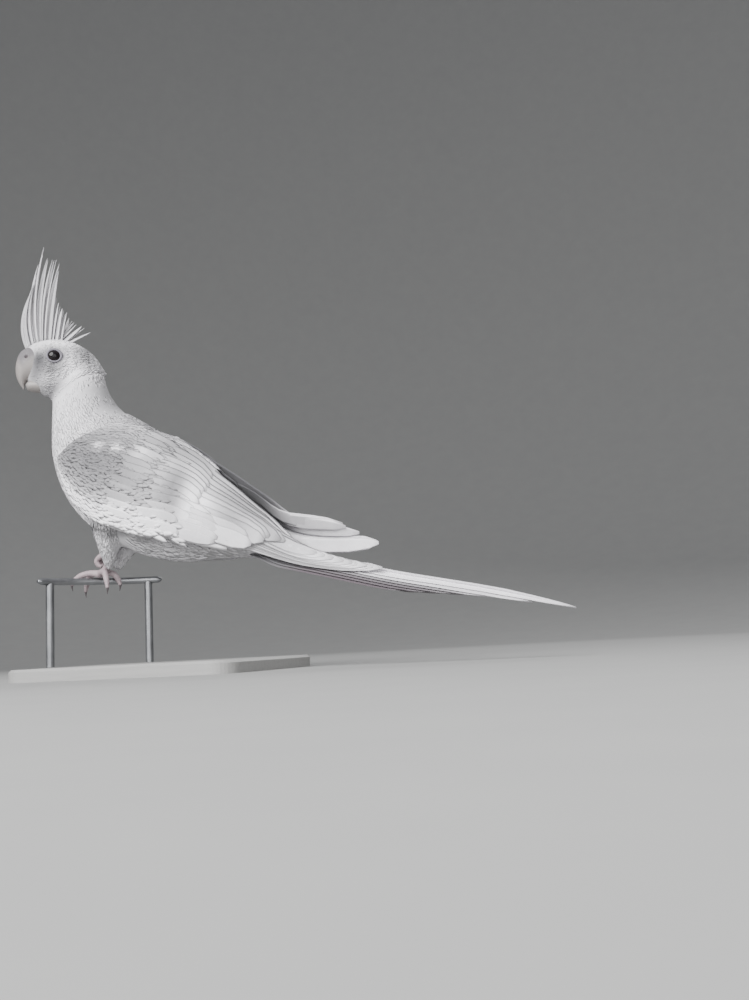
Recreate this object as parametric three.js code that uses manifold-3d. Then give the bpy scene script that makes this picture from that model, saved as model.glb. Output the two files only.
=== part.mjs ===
// A still, life-size cockatiel that grips a short length of wire, held up by a plain display stand.
// Units are millimetres and +Z is up. The bird faces -X and its left side faces -Y.
// The origin is the middle of the stand base's underside.
import * as THREE from 'three';
import { mergeVertices } from 'three/addons/utils/BufferGeometryUtils.js';
import Module from 'manifold-3d';

const wasm = await Module();
wasm.setup();

// Clearance kept where two nodes meet face to face
const gap = 0.3;

// Stand and perch
const baseLength = 124;
const baseWidth = 92;
const baseThickness = 6;
const baseCorner = 10;
const baseBevel = 1.2;
const rodRadius = 2;
const perchHeight = 48;
const wireRadius = 1.8;
const ringRadius = 65;
const gripAngle = 138.4;
const perchHalfSpan = 28;
const rodHalfSpan = 22;
// The grip point on the wire, which the bird's own measures start from, seen from the origin
const gripX = -34;
const gripY = -6;

// Bird: the trunk's outline along its middle, from inside the head to the rump, above and below
const trunkAbove = [
  [-4, 117], [4, 109], [7, 99], [15, 88], [29, 79], [44, 68], [60, 56], [77, 42], [91, 30], [103, 18], [110, 9],
];
const trunkBelow = [
  [-26, 113], [-26.5, 104], [-25.5, 93], [-25, 80], [-24, 63], [-17, 44], [-2, 27], [22, 13], [46, 6], [70, 6], [92, 7],
];
const trunkHalfWidths = [9, 13.5, 15, 18, 21, 22, 22, 19.5, 15.5, 11, 6];
const trunkSides = 22;
const trunkStations = 20;

// Head, in its own frame: -x is the way the bill points, and z is up
const headCentre = new THREE.Vector3(-18.6, -4.8, 116.5);
const headTurn = 37;
const headXs = [-18.4, -17, -13, -7, 0, 7, 13, 18, 21.5];
const headAbove = [3.5, 7, 10.3, 12, 12.4, 10.8, 7.5, 3, -3];
const headBelow = [-8, -11, -15, -19.5, -20, -19, -16, -13, -9];
const headHalfWidths = [3, 6, 9, 11.3, 12.2, 12, 11, 8.5, 4];
const headSides = 24;
const headStations = 15;

// Eyes and lids
const eyeRadius = 4.1;
const eyeX = -2.7;
const eyeY = 9.1;
const eyeZ = 0;
const lidRadius = 3.45;
const lidThickness = 0.75;
const lidY = 11.7;

// Bill, in the head's frame: upper and lower half, each as points above and below with half widths
const upperBillAbove = [[-12, 7], [-16.5, 6.5], [-19.4, 4.4], [-21.4, 0.6], [-22.2, -4], [-21.7, -9], [-20.2, -12.6], [-18.3, -15.3]];
const upperBillBelow = [[-9, -10], [-12, -10.5], [-14, -10.5], [-15.5, -10.5], [-16.6, -11], [-17.3, -11.8], [-17.8, -13.2], [-17.9, -15]];
const upperBillHalfWidths = [6.5, 6.2, 5.6, 4.9, 4, 2.9, 1.6, 0.5];
const lowerBillAbove = [[-9, -10.2], [-13, -10.4], [-16, -11], [-17.2, -12.4]];
const lowerBillBelow = [[-8, -17], [-12.5, -16.6], [-15.8, -15.8], [-16.9, -14.4]];
const lowerBillHalfWidths = [5, 4.5, 3.3, 1.8];
const nostrilRadius = 0.85;
const nostril = new THREE.Vector3(-18.4, 2.9, 3.6);

// Planes that part the head from the neck and the neck from the torso: a point and a normal towards the head
const headCut = { point: new THREE.Vector3(-10, 0, 103), normal: new THREE.Vector3(-0.28, 0, 0.96) };
const neckCut = { point: new THREE.Vector3(-5, 0, 85), normal: new THREE.Vector3(-0.2, 0, 0.98) };
const tailCut = { point: new THREE.Vector3(96, 0, 10), normal: new THREE.Vector3(0.9, 0, -0.43) };

// Wings: the folded wing's lower and upper edge from the wrist to the tip
const wingLower = [[-13, -15, 59], [-3, -20, 44], [11, -22, 31], [33, -23.5, 21.5], [57, -22, 15.5], [76, -18.5, 9.6], [97, -14.5, 4.2], [121, -11.5, -0.4], [140, -9.5, -2.8], [158, -8, -4.2]];
const wingUpper = [[-9, -13, 70], [6, -14, 77], [26, -13, 75.5], [44.5, -10, 68], [59, -4.5, 58.3], [75, -3.5, 44.8], [92.5, -3.2, 29], [111, -3.5, 12.6], [133.5, -4.5, 3.3], [156.5, -6, -2.2]];
const wingBulges = [2, 6, 9.5, 10.5, 9.5, 7, 4.5, 2, 0.9, 0.3];
const wingThicknesses = [3, 6, 7.5, 7.5, 6, 4.5, 3, 2, 1.4, 0.7];
const wingStations = 32;
const wingOuterPoints = 14;
const wingInnerPoints = 9;
// The right wing is held a little higher and its primaries are fanned upwards
const rightTipRaise = [0, 0, 0, 0, 0, 0, 0.4, 1.4, 3.2, 3];
const rightWingLift = 3;
const rightWingScale = 0.94;

// Feathers of the tail and the crest: steps along a feather and its half width at each as a share of the widest
const vaneSteps = [0, 0.45, 0.8, 0.94, 1];
const vaneProfile = [0.5, 0.95, 1, 0.78, 0.36];
const vaneThickness = 0.56;

// Tail: twelve graduated feathers folded like a roof. Each pair's tip, from the middle pair outwards
const tailTips = [240, 221, 204, 191, 179, 168];
const tailRootX = 91;
const tailRidge = [[86, 11.5], [128, 1.6], [163, -7.4], [186, -12.6], [208, -17.8], [240, -26.6]];
const tailPadEnd = 0.15;
const tailPadThickness = 3;
const tailHalfWidths = [8, 9.5, 10.5, 9.5, 6.5, 0.8];
const tailDroops = [2, 3.5, 5, 5, 3, 0.3];
const tailVaneHalfWidth = 4.7;
const tailVaneSpread = { root: 0.8, tip: 1.05 };
const tailVaneLayer = 0.8;
const tailVaneDroop = 0.35;

// Crest, in the head's frame: three groups of feathers from the forehead to the back of the crown.
// Roots run along the crown, tips lie on a curve, and bow is how far a feather arches forwards
const crestGroups = [
  {
    count: 9,
    root: { from: -16.5, to: -4.5 },
    tips: [[-13.5, 40], [-12.2, 47], [-8.1, 62], [-4.5, 56.5], [-0.5, 57.4], [-1.5, 44]],
    bow: { from: -7.5, to: -1.5 },
    halfWidth: 1.9,
  },
  {
    count: 5,
    root: { from: -5.5, to: 1.5 },
    tips: [[-2, 36], [1.1, 30], [4.6, 25.5]],
    bow: { from: -1.5, to: -0.5 },
    halfWidth: 1.8,
  },
  {
    count: 5,
    root: { from: -2, to: 4.5 },
    tips: [[6, 23], [10.5, 20.5], [15.8, 16.8]],
    bow: { from: -0.5, to: 0 },
    halfWidth: 1.4,
  },
];
const crestPadAbove = [[-17.6, 8.4], [-12, 12.6], [-4, 14.4], [3, 13.6], [7, 11.4]];
const crestPadBelow = [[-15.5, 5.5], [-11, 7], [-4, 9], [3, 8], [6, 7]];
const crestPadHalfWidths = [1.2, 3, 4, 3.2, 1.2];
const crestSway = 1.7;

// Legs and feet
const thighTop = new THREE.Vector3(16, -12, 32);
const ankle = new THREE.Vector3(9.4, -3.6, 6.5);
const toeRadius = 1.5;

// Solids and surfaces

// A manifold solid from points and triangles, turned right side out
function solidFrom(points, triangles) {
  const vertProperties = new Float32Array(points.flatMap((p) => [p.x, p.y, p.z]));
  const volume = triangles.reduce((sum, [a, b, c]) => sum + points[a].dot(points[b].clone().cross(points[c])), 0);
  const turned = volume < 0 ? triangles.map(([a, b, c]) => [a, c, b]) : triangles;
  return new wasm.Manifold(new wasm.Mesh({ numProp: 3, vertProperties, triVerts: new Uint32Array(turned.flat()) }));
}

// Points of one geometry nearer than this are one point
const mergeDistance = 1e-3;

// A manifold solid from a closed three.js geometry
function solidOf(geometry) {
  const bare = geometry.clone();
  bare.deleteAttribute('normal');
  bare.deleteAttribute('uv');
  const merged = mergeVertices(bare, mergeDistance);
  const vertProperties = Float32Array.from(merged.attributes.position.array);
  const triVerts = Uint32Array.from(merged.index.array);
  return new wasm.Manifold(new wasm.Mesh({ numProp: 3, vertProperties, triVerts }));
}

// The triangles that close a ring, as a strip that runs across it from its first point
function capTriangles(start, count) {
  const triangles = [];
  let near = 0;
  let far = count - 1;
  while (far - near > 1) {
    triangles.push([start + near, start + near + 1, start + far]);
    near += 1;
    if (far - near > 1) {
      triangles.push([start + near, start + far - 1, start + far]);
      far -= 1;
    }
  }
  return triangles;
}

// A closed body through rings of equal point counts
function loft(rings) {
  const count = rings[0].length;
  const points = rings.flat();
  const triangles = [];
  for (let r = 0; r + 1 < rings.length; r += 1) {
    for (let k = 0; k < count; k += 1) {
      const a = r * count + k;
      const b = r * count + ((k + 1) % count);
      triangles.push([a, b, a + count], [b, b + count, a + count]);
    }
  }
  const first = capTriangles(0, count).map(([a, b, c]) => [a, c, b]);
  triangles.push(...first, ...capTriangles((rings.length - 1) * count, count));
  return solidFrom(points, triangles);
}

// The largest closed body of a solid
function largest(solid) {
  const pieces = solid.decompose();
  return pieces.reduce((best, piece) => (piece.volume() > best.volume() ? piece : best));
}

// A smooth curve through values at even steps
function through(values) {
  const curve = new THREE.CatmullRomCurve3(values.map((v) => new THREE.Vector3(...[v, 0, 0].flat().slice(0, 3))));
  return (t) => curve.getPoint(t);
}

// A smooth curve through x and z pairs in the middle plane
function outline(pairs) {
  return through(pairs.map(([x, z]) => [x, 0, z]));
}

// One closed section between a point above and a point below
function section(above, below, halfWidth, sides, extra = 0) {
  const middle = above.clone().add(below).multiplyScalar(0.5);
  const upright = above.clone().sub(below).multiplyScalar(0.5);
  upright.setLength(upright.length() + extra);
  const across = new THREE.Vector3(0, halfWidth + extra, 0);
  return Array.from({ length: sides }, (_, k) => {
    const angle = (2 * Math.PI * k) / sides;
    return middle.clone().addScaledVector(upright, Math.cos(angle)).addScaledVector(across, Math.sin(angle));
  });
}

// A body through sections along two outlines
function body(above, below, halfWidths, sides, stations, extra = 0) {
  const top = outline(above);
  const bottom = outline(below);
  const width = through(halfWidths);
  const steps = Array.from({ length: stations }, (_, i) => i / (stations - 1));
  return loft(steps.map((t) => section(top(t), bottom(t), width(t).x, sides, extra)));
}

// A round limb along points, with a radius at each point
function limb(points, radii, sides, stations, extra = 0) {
  const path = new THREE.CatmullRomCurve3(points);
  const radius = through(radii);
  const frames = path.computeFrenetFrames(stations - 1, false);
  return loft(Array.from({ length: stations }, (_, i) => {
    const t = i / (stations - 1);
    const middle = path.getPointAt(t);
    const r = radius(t).x + extra;
    return Array.from({ length: sides }, (_, k) => {
      const angle = (2 * Math.PI * k) / sides;
      return middle
        .clone()
        .addScaledVector(frames.normals[i], r * Math.cos(angle))
        .addScaledVector(frames.binormals[i], r * Math.sin(angle));
    });
  }));
}

// A solid cut by a plane, keeping the side that its normal points to, shifted by half the gap
const cutterSize = 400;
function keepSide(solid, plane, direction) {
  const normal = plane.normal.clone().normalize().multiplyScalar(direction);
  const box = new THREE.BoxGeometry(cutterSize, cutterSize, cutterSize);
  const turn = new THREE.Quaternion().setFromUnitVectors(new THREE.Vector3(0, 0, 1), normal);
  const shift = plane.point.clone().addScaledVector(normal, cutterSize / 2 + gap / 2);
  box.applyMatrix4(new THREE.Matrix4().compose(shift, turn, new THREE.Vector3(1, 1, 1)));
  return solid.intersect(solidOf(box));
}

function geometryOf(solid) {
  const { vertProperties, triVerts } = solid.getMesh();
  const geometry = new THREE.BufferGeometry();
  geometry.setAttribute('position', new THREE.BufferAttribute(Float32Array.from(vertProperties), 3));
  geometry.setIndex(new THREE.BufferAttribute(Uint32Array.from(triVerts), 1));
  return geometry;
}

// Where two edges of a body only touch, their points are drawn a hair's breadth apart, into the body
const touchDistance = 0.004;
const partDistance = 0.008;

function drawTouchingApart(geometry) {
  const position = geometry.attributes.position;
  const index = geometry.index.array;
  const joined = new Set();
  for (let i = 0; i < index.length; i += 3) {
    for (let k = 0; k < 3; k += 1) {
      joined.add(`${index[i + k]} ${index[i + ((k + 1) % 3)]}`);
    }
  }
  geometry.computeVertexNormals();
  const normal = geometry.attributes.normal;
  const order = Array.from({ length: position.count }, (_, i) => i);
  order.sort((a, b) => position.getX(a) - position.getX(b));
  const points = order.map((i) => new THREE.Vector3().fromBufferAttribute(position, i));
  const moved = new Set();
  for (let a = 0; a < order.length; a += 1) {
    for (let b = a + 1; b < order.length && points[b].x - points[a].x < touchDistance; b += 1) {
      const near = points[a].distanceTo(points[b]) < touchDistance;
      if (near && !joined.has(`${order[a]} ${order[b]}`)) {
        moved.add(a).add(b);
      }
    }
  }
  for (const a of moved) {
    const inwards = new THREE.Vector3().fromBufferAttribute(normal, order[a]).negate();
    points[a].addScaledVector(inwards, partDistance);
    position.setXYZ(order[a], ...points[a]);
  }
}

// A mesh of a solid's largest body
function meshOf(name, solid, colour, roughness, metalness = 0) {
  const merged = solidOf(geometryOf(largest(solid)));
  const geometry = geometryOf(largest(merged));
  drawTouchingApart(geometry);
  geometry.computeVertexNormals();
  const mesh = new THREE.Mesh(geometry, new THREE.MeshStandardMaterial({ color: colour, roughness, metalness }));
  mesh.name = name;
  return mesh;
}

// Stand

function standBase() {
  const x = baseLength / 2 - baseCorner - baseBevel;
  const y = baseWidth / 2 - baseCorner - baseBevel;
  const shape = new THREE.Shape();
  shape.absarc(x, y, baseCorner, 0, Math.PI / 2);
  shape.absarc(-x, y, baseCorner, Math.PI / 2, Math.PI);
  shape.absarc(-x, -y, baseCorner, Math.PI, 1.5 * Math.PI);
  shape.absarc(x, -y, baseCorner, 1.5 * Math.PI, 2 * Math.PI);
  shape.closePath();
  const slab = new THREE.ExtrudeGeometry(shape, {
    depth: baseThickness - baseBevel,
    curveSegments: 5,
    bevelThickness: baseBevel,
    bevelSize: baseBevel,
    bevelSegments: 1,
  });
  // The lower bevel is cut away so that the underside is one flat face at the full outline
  const block = new THREE.BoxGeometry(cutterSize, cutterSize, cutterSize).translate(0, 0, cutterSize / 2);
  return solidOf(slab).intersect(solidOf(block));
}

const ringMiddle = new THREE.Vector3(
  -ringRadius * Math.cos(THREE.MathUtils.degToRad(gripAngle)),
  -ringRadius * Math.sin(THREE.MathUtils.degToRad(gripAngle)),
  0,
);

// A place on the wire ring's middle line, at degrees from the grip point
function onRing(degrees) {
  const angle = THREE.MathUtils.degToRad(gripAngle + degrees);
  return ringMiddle.clone().add(new THREE.Vector3(Math.cos(angle), Math.sin(angle), 0).multiplyScalar(ringRadius));
}

function perchWire(extra = 0, halfSpan = perchHalfSpan) {
  const count = 15;
  const points = Array.from({ length: count }, (_, i) => onRing(halfSpan * ((2 * i) / (count - 1) - 1)));
  return limb(points, points.map(() => wireRadius), 10, count, extra);
}

function standRod(degrees) {
  const place = onRing(degrees);
  const bottom = baseThickness + gap - perchHeight;
  const rod = new THREE.CylinderGeometry(rodRadius, rodRadius, -bottom, 16);
  rod.rotateX(Math.PI / 2).translate(place.x, place.y, bottom / 2);
  return solidOf(rod).subtract(perchWire(gap));
}

// Head, neck and torso

const headPlace = new THREE.Matrix4()
  .makeTranslation(headCentre)
  .multiply(new THREE.Matrix4().makeRotationZ(THREE.MathUtils.degToRad(headTurn)));

const inHead = (solid) => solid.transform(headPlace.toArray());

function headBody(extra = 0) {
  const above = headXs.map((x, i) => [x, headAbove[i]]);
  const below = headXs.map((x, i) => [x, headBelow[i]]);
  return body(above, below, headHalfWidths, headSides, headStations, extra);
}

function trunkBody(extra = 0) {
  return body(trunkAbove, trunkBelow, trunkHalfWidths, trunkSides, trunkStations, extra);
}

function eyeBall(side, extra = 0) {
  const ball = new THREE.SphereGeometry(eyeRadius + extra, 16, 10);
  return solidOf(ball.translate(eyeX, side * eyeY, eyeZ));
}

function eyeLid(side) {
  const ring = new THREE.TorusGeometry(lidRadius, lidThickness, 5, 16);
  return solidOf(ring.rotateX(Math.PI / 2).translate(eyeX, side * lidY, eyeZ));
}

// Bill

function upperBill(extra = 0) {
  return body(upperBillAbove, upperBillBelow, upperBillHalfWidths, 12, 10, extra);
}

function lowerBill() {
  return body(lowerBillAbove, lowerBillBelow, lowerBillHalfWidths, 12, 8);
}

function nostrilPit(side) {
  const pit = new THREE.SphereGeometry(nostrilRadius, 8, 6);
  return solidOf(pit.translate(nostril.x, side * nostril.y, nostril.z));
}

// Wings

const lowerEdge = through(wingLower);
const bulgeAt = through(wingBulges);
const thicknessAt = through(wingThicknesses);

// A point of the left wing: u runs from wrist to tip, v from the lower to the upper edge, n outwards
function wingPoint(upperEdge, u, v, n = 0) {
  const low = lowerEdge(u);
  const high = upperEdge(u);
  const chord = high.clone().sub(low);
  const along = lowerEdge(Math.min(u + 0.01, 1)).sub(lowerEdge(Math.max(u - 0.01, 0)));
  const outward = along.clone().cross(chord).normalize();
  if (outward.y > 0) outward.negate();
  const bulge = bulgeAt(u).x;
  const bow = 4 * v * (1 - v) * bulge;
  const lean = (4 * (1 - 2 * v) * bulge) / chord.length();
  const tilt = outward.clone().multiplyScalar(chord.length()).addScaledVector(chord, -lean).normalize();
  return low.addScaledVector(chord, v).addScaledVector(outward, bow).addScaledVector(tilt, n);
}

// A folded wing as one smooth form out to its tips
function wing(upperPoints) {
  const upperEdge = through(upperPoints);
  return loft(Array.from({ length: wingStations }, (_, i) => {
    const u = i / (wingStations - 1);
    const depth = thicknessAt(u).x;
    const outer = Array.from({ length: wingOuterPoints }, (_, k) =>
      wingPoint(upperEdge, u, k / (wingOuterPoints - 1)));
    const inner = Array.from({ length: wingInnerPoints }, (_, k) => {
      const v = 1 - (k + 0.5) / wingInnerPoints;
      return wingPoint(upperEdge, u, v, -depth * Math.sin(Math.PI * (0.25 + 0.5 * v)));
    });
    return [...outer, ...inner];
  }));
}

const mix = (a, b, t) => a + (b - a) * t;

// A flat, tapered feather along a path, with the surface's outward direction and half width at each step
function vane(path, outwards, halfWidths) {
  const last = path.length - 1;
  return loft(path.map((middle, i) => {
    const along = path[Math.min(i + 1, last)].clone().sub(path[Math.max(i - 1, 0)]).normalize();
    const across = outwards[i].clone().cross(along).normalize();
    const outward = along.clone().cross(across).normalize();
    const half = halfWidths[i];
    const thick = (vaneThickness / 2) * (i === last ? 0.5 : 1);
    return [
      middle.clone().addScaledVector(across, half),
      middle.clone().addScaledVector(outward, thick),
      middle.clone().addScaledVector(across, -half),
      middle.clone().addScaledVector(outward, -thick),
    ];
  }));
}

// A crest feather: f runs from the first of its group to the last, and index sets its sway to one side
function crestVane(group, f, index) {
  const rootX = mix(group.root.from, group.root.to, f);
  const tip = outline(group.tips)(f);
  const y = crestSway * Math.sin(2.4 * index + 0.6);
  const root = new THREE.Vector3(rootX, 0.5 * y, crownHeight(rootX) - 1.2);
  tip.setY(y);
  const bend = root.clone().lerp(tip, 0.45);
  bend.x += mix(group.bow.from, group.bow.to, f);
  const curve = new THREE.QuadraticBezierCurve3(root, bend, tip);
  const turn = 0.5 * Math.sin(3.7 * index + 1);
  const outward = new THREE.Vector3(Math.sin(turn), Math.cos(turn), 0);
  const shares = [0.6, 0.95, 1, 0.72, 0.2];
  return vane(vaneSteps.map((t) => curve.getPoint(t)), vaneSteps.map(() => outward), shares.map((s) => s * group.halfWidth));
}

// The height of the head's crown at an x
function crownHeight(x) {
  const last = headXs.findIndex((next) => next >= x);
  const t = (x - headXs[last - 1]) / (headXs[last] - headXs[last - 1]);
  return mix(headAbove[last - 1], headAbove[last], t);
}

function crestFeathers() {
  const pad = body(crestPadAbove, crestPadBelow, crestPadHalfWidths, 10, 7);
  return crestGroups
    .flatMap((group) => Array.from({ length: group.count }, (_, i) => crestVane(group, i / (group.count - 1), i)))
    .reduce((whole, next) => whole.add(next), pad);
}

const shoulder = new THREE.Vector3(0, 14, 66);

// A left wing's solid mirrored to the right and held a little higher
function toRight(solid) {
  const lift = new THREE.Matrix4().makeRotationY(THREE.MathUtils.degToRad(-rightWingLift));
  const size = new THREE.Matrix4().makeScale(rightWingScale, 1, rightWingScale);
  const place = new THREE.Matrix4()
    .makeTranslation(shoulder)
    .multiply(lift)
    .multiply(size)
    .multiply(new THREE.Matrix4().makeTranslation(shoulder.clone().negate()));
  return solid.mirror([0, 1, 0]).transform(place.toArray());
}

// Tail

const tailLine = outline(tailRidge);
const tailHeights = Array.from({ length: 61 }, (_, i) => tailLine(i / 60));

// The height of the tail's ridge at an x
function ridgeHeight(x) {
  const next = Math.max(1, tailHeights.findIndex((p) => p.x >= x));
  const [a, b] = [tailHeights[next - 1], tailHeights[next]];
  return mix(a.z, b.z, (x - a.x) / (b.x - a.x));
}

// A folded sheet along the ridge, up to a share of its length
function tailSheet(end, thickness, extra = 0) {
  const width = through(tailHalfWidths);
  const droop = through(tailDroops);
  const stations = 12;
  const half = 3;
  return loft(Array.from({ length: stations }, (_, i) => {
    const t = (end * i) / (stations - 1);
    const middle = tailLine(t);
    const place = (k, drop) => {
      const f = k / half;
      const z = middle.z - Math.abs(f) * droop(t).x - drop;
      return new THREE.Vector3(middle.x, f * (width(t).x + extra), z);
    };
    const top = Array.from({ length: 2 * half + 1 }, (_, k) => place(k - half, -extra));
    const bottom = Array.from({ length: 2 * half + 1 }, (_, k) => place(half - k, thickness + extra));
    return [...top, ...bottom];
  }));
}

// One tail feather: pair 0 is the long, pointed middle pair
function tailVane(pair, side) {
  const pointed = pair === 0;
  const shares = pointed ? [0.7, 1, 0.9, 0.52, 0.14] : vaneProfile;
  const path = vaneSteps.map((t) => {
    const x = mix(tailRootX, tailTips[pair], t);
    const spread = mix(tailVaneSpread.root, tailVaneSpread.tip, t);
    const y = side * (1.9 - (pointed ? 1.1 * t : 0) + pair * spread);
    const stack = tailVaneLayer * (pair + (side > 0 ? 0.45 : 0)) + 0.6;
    return new THREE.Vector3(x, y, ridgeHeight(x) - stack - tailVaneDroop * Math.abs(y));
  });
  const outwards = path.map(() => new THREE.Vector3(0, side * 0.35, 1).normalize());
  const halfWidths = shares.map((share) => share * tailVaneHalfWidth);
  return vane(path, outwards, halfWidths);
}

function tailFeathers() {
  const pad = tailSheet(tailPadEnd, tailPadThickness);
  return tailTips
    .flatMap((_, pair) => [tailVane(pair, -1), tailVane(pair, 1)])
    .reduce((whole, next) => whole.add(next), pad);
}

// Legs and feet

function thigh(side, extra = 0) {
  const flip = new THREE.Vector3(1, -side, 1);
  const points = [thighTop, thighTop.clone().lerp(ankle, 0.5), ankle].map((p) => p.clone().multiply(flip));
  return limb(points, [11, 7.5, 3.2], 12, 7, extra);
}

// A toe from the foot's middle, at a heading in degrees from the way the bird faces
const toeShapes = [
  { heading: 15, length: 15, drop: 5 },
  { heading: -22, length: 14, drop: 8 },
  { heading: 142, length: 13, drop: 8 },
  { heading: -155, length: 10, drop: 6 },
];
const footMiddle = new THREE.Vector3(2, -1, wireRadius + gap + toeRadius);

function toe({ heading, length, drop }) {
  const angle = THREE.MathUtils.degToRad(heading);
  const way = new THREE.Vector3(-Math.cos(angle), -Math.sin(angle), 0);
  const reach = [0, 0.35, 0.68, 0.9, 1, 0.96];
  const fall = [0, -0.6, 0.4, 0.55 * drop, drop, drop + 3];
  const radii = [1.9, toeRadius, toeRadius, 1.3, 0.8, 0.15];
  const points = reach.map((r, i) => footMiddle.clone().addScaledVector(way, r * length).setZ(footMiddle.z - fall[i]));
  return limb(points, radii, 6, 7);
}

function grippingFoot() {
  const shank = limb([ankle.clone().add(new THREE.Vector3(0.6, -0.4, 2)), footMiddle.clone().lerp(ankle, 0.5), footMiddle], [2, 1.9, 2.1], 10, 6);
  return toeShapes.map(toe).reduce((foot, next) => foot.add(next), shank);
}

function foldedFoot() {
  const heel = new THREE.Vector3(8, 9, 12);
  const shank = limb([heel.clone().add(new THREE.Vector3(3, 1, 4)), heel, new THREE.Vector3(-2, 9, 14)], [2, 2, 1.9], 10, 6);
  const toes = [-3, -1, 1, 3].map((y) => limb([
    new THREE.Vector3(-2, 9 + 0.6 * y, 14),
    new THREE.Vector3(-5, 9 + y, 11),
    new THREE.Vector3(-2, 9 + y, 8),
    new THREE.Vector3(1, 9 + y, 9.5),
  ], [1.6, 1.4, 1.2, 0.3], 6, 5));
  return toes.reduce((foot, next) => foot.add(next), shank);
}

// Assembly

const colours = {
  feather: 0xe4e1de,
  vane: 0xb9b5ba,
  bill: 0xb5aca4,
  skin: 0xb59f9e,
  eye: 0x120f12,
  wire: 0x8e9094,
  stand: 0x6d5a48,
};

const headGrown = inHead(headBody(gap));
const trunk = trunkBody();
const trunkGrown = trunkBody(gap);
const eyes = [-1, 1].map((side) => inHead(eyeBall(side)));
const eyesGrown = [-1, 1].map((side) => inHead(eyeBall(side, gap)));
const lids = [-1, 1].map((side) => inHead(eyeLid(side)));

const flesh = inHead(headBody()).add(lids[0]).add(lids[1]).add(trunk);
const head = keepSide(flesh, headCut, 1).subtract(eyesGrown[0]).subtract(eyesGrown[1]);
const neck = keepSide(keepSide(flesh, headCut, -1), neckCut, 1);
const torso = keepSide(keepSide(flesh, neckCut, -1), tailCut, -1);

const upper = inHead(upperBill().subtract(nostrilPit(-1)).subtract(nostrilPit(1))).subtract(headGrown);
const lower = inHead(lowerBill().subtract(upperBill(gap))).subtract(headGrown);

const crest = inHead(crestFeathers()).subtract(headGrown);

const tail = keepSide(tailFeathers().add(trunk), tailCut, 1);
const wingClearance = trunkGrown.add(tailSheet(1, 2, gap));
const leftWing = wing(wingUpper).subtract(wingClearance);
const rightWingUpper = wingUpper.map(([x, y, z], i) => [x, y, z + rightTipRaise[i]]);
const rightWing = toRight(wing(rightWingUpper)).subtract(wingClearance);

const wireGrown = perchWire(gap);
const leftThigh = thigh(-1).subtract(trunkGrown);
const rightThigh = thigh(1).subtract(trunkGrown);
const leftFoot = grippingFoot().subtract(thigh(-1, gap)).subtract(wireGrown).subtract(trunkGrown);
const rightFoot = foldedFoot().subtract(thigh(1, gap)).subtract(trunkGrown).subtract(wireGrown);

const bird = new THREE.Group();
bird.position.set(gripX, gripY, perchHeight);
bird.add(
  meshOf('head', head, colours.feather, 0.9),
  meshOf('neck', neck, colours.feather, 0.9),
  meshOf('torso', torso, colours.feather, 0.9),
  meshOf('bill_upper', upper, colours.bill, 0.45),
  meshOf('bill_lower', lower, colours.bill, 0.45),
  meshOf('eye_left', eyes[0], colours.eye, 0.1),
  meshOf('eye_right', eyes[1], colours.eye, 0.1),
  meshOf('crest', crest, colours.feather, 0.85),
  meshOf('wing_left', leftWing, colours.feather, 0.85),
  meshOf('wing_right', rightWing, colours.vane, 0.85),
  meshOf('tail', tail, colours.vane, 0.85),
  meshOf('leg_left', leftThigh, colours.feather, 0.9),
  meshOf('leg_right', rightThigh, colours.feather, 0.9),
  meshOf('foot_left', leftFoot, colours.skin, 0.6),
  meshOf('foot_right', rightFoot, colours.skin, 0.6),
  meshOf('perch_wire', perchWire(), colours.wire, 0.35, 0.9),
  meshOf('stand_rod_front', standRod(rodHalfSpan), colours.wire, 0.35, 0.9),
  meshOf('stand_rod_rear', standRod(-rodHalfSpan), colours.wire, 0.35, 0.9),
);

const model = new THREE.Group();
model.add(meshOf('stand_base', standBase(), colours.stand, 0.5), bird);

export default model;
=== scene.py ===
import bpy
import numpy as np
from mathutils import Matrix
from mathutils.kdtree import KDTree


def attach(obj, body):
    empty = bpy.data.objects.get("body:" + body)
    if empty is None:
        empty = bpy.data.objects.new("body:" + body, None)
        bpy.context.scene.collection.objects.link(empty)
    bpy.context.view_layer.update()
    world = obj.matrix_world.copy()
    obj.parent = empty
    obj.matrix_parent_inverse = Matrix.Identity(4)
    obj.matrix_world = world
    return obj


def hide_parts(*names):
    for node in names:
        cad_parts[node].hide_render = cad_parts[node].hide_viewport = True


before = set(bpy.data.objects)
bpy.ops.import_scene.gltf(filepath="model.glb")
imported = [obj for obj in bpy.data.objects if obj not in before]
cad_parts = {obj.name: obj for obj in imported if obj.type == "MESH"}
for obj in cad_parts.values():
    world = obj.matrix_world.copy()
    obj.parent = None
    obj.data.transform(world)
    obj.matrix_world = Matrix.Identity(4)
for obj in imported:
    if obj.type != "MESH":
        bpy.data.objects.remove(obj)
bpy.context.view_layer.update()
print("frame loaded with", len(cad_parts), "nodes")

metre = 0.001                               # one millimetre in metres
grip = np.array([-34.0, -6.0, 48.0])        # the foot's place on the wire, seen from the base
sides = ((-1, "left"), (1, "right"))        # the bird's own left side is at negative y


# Surfaces from numbers

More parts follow.
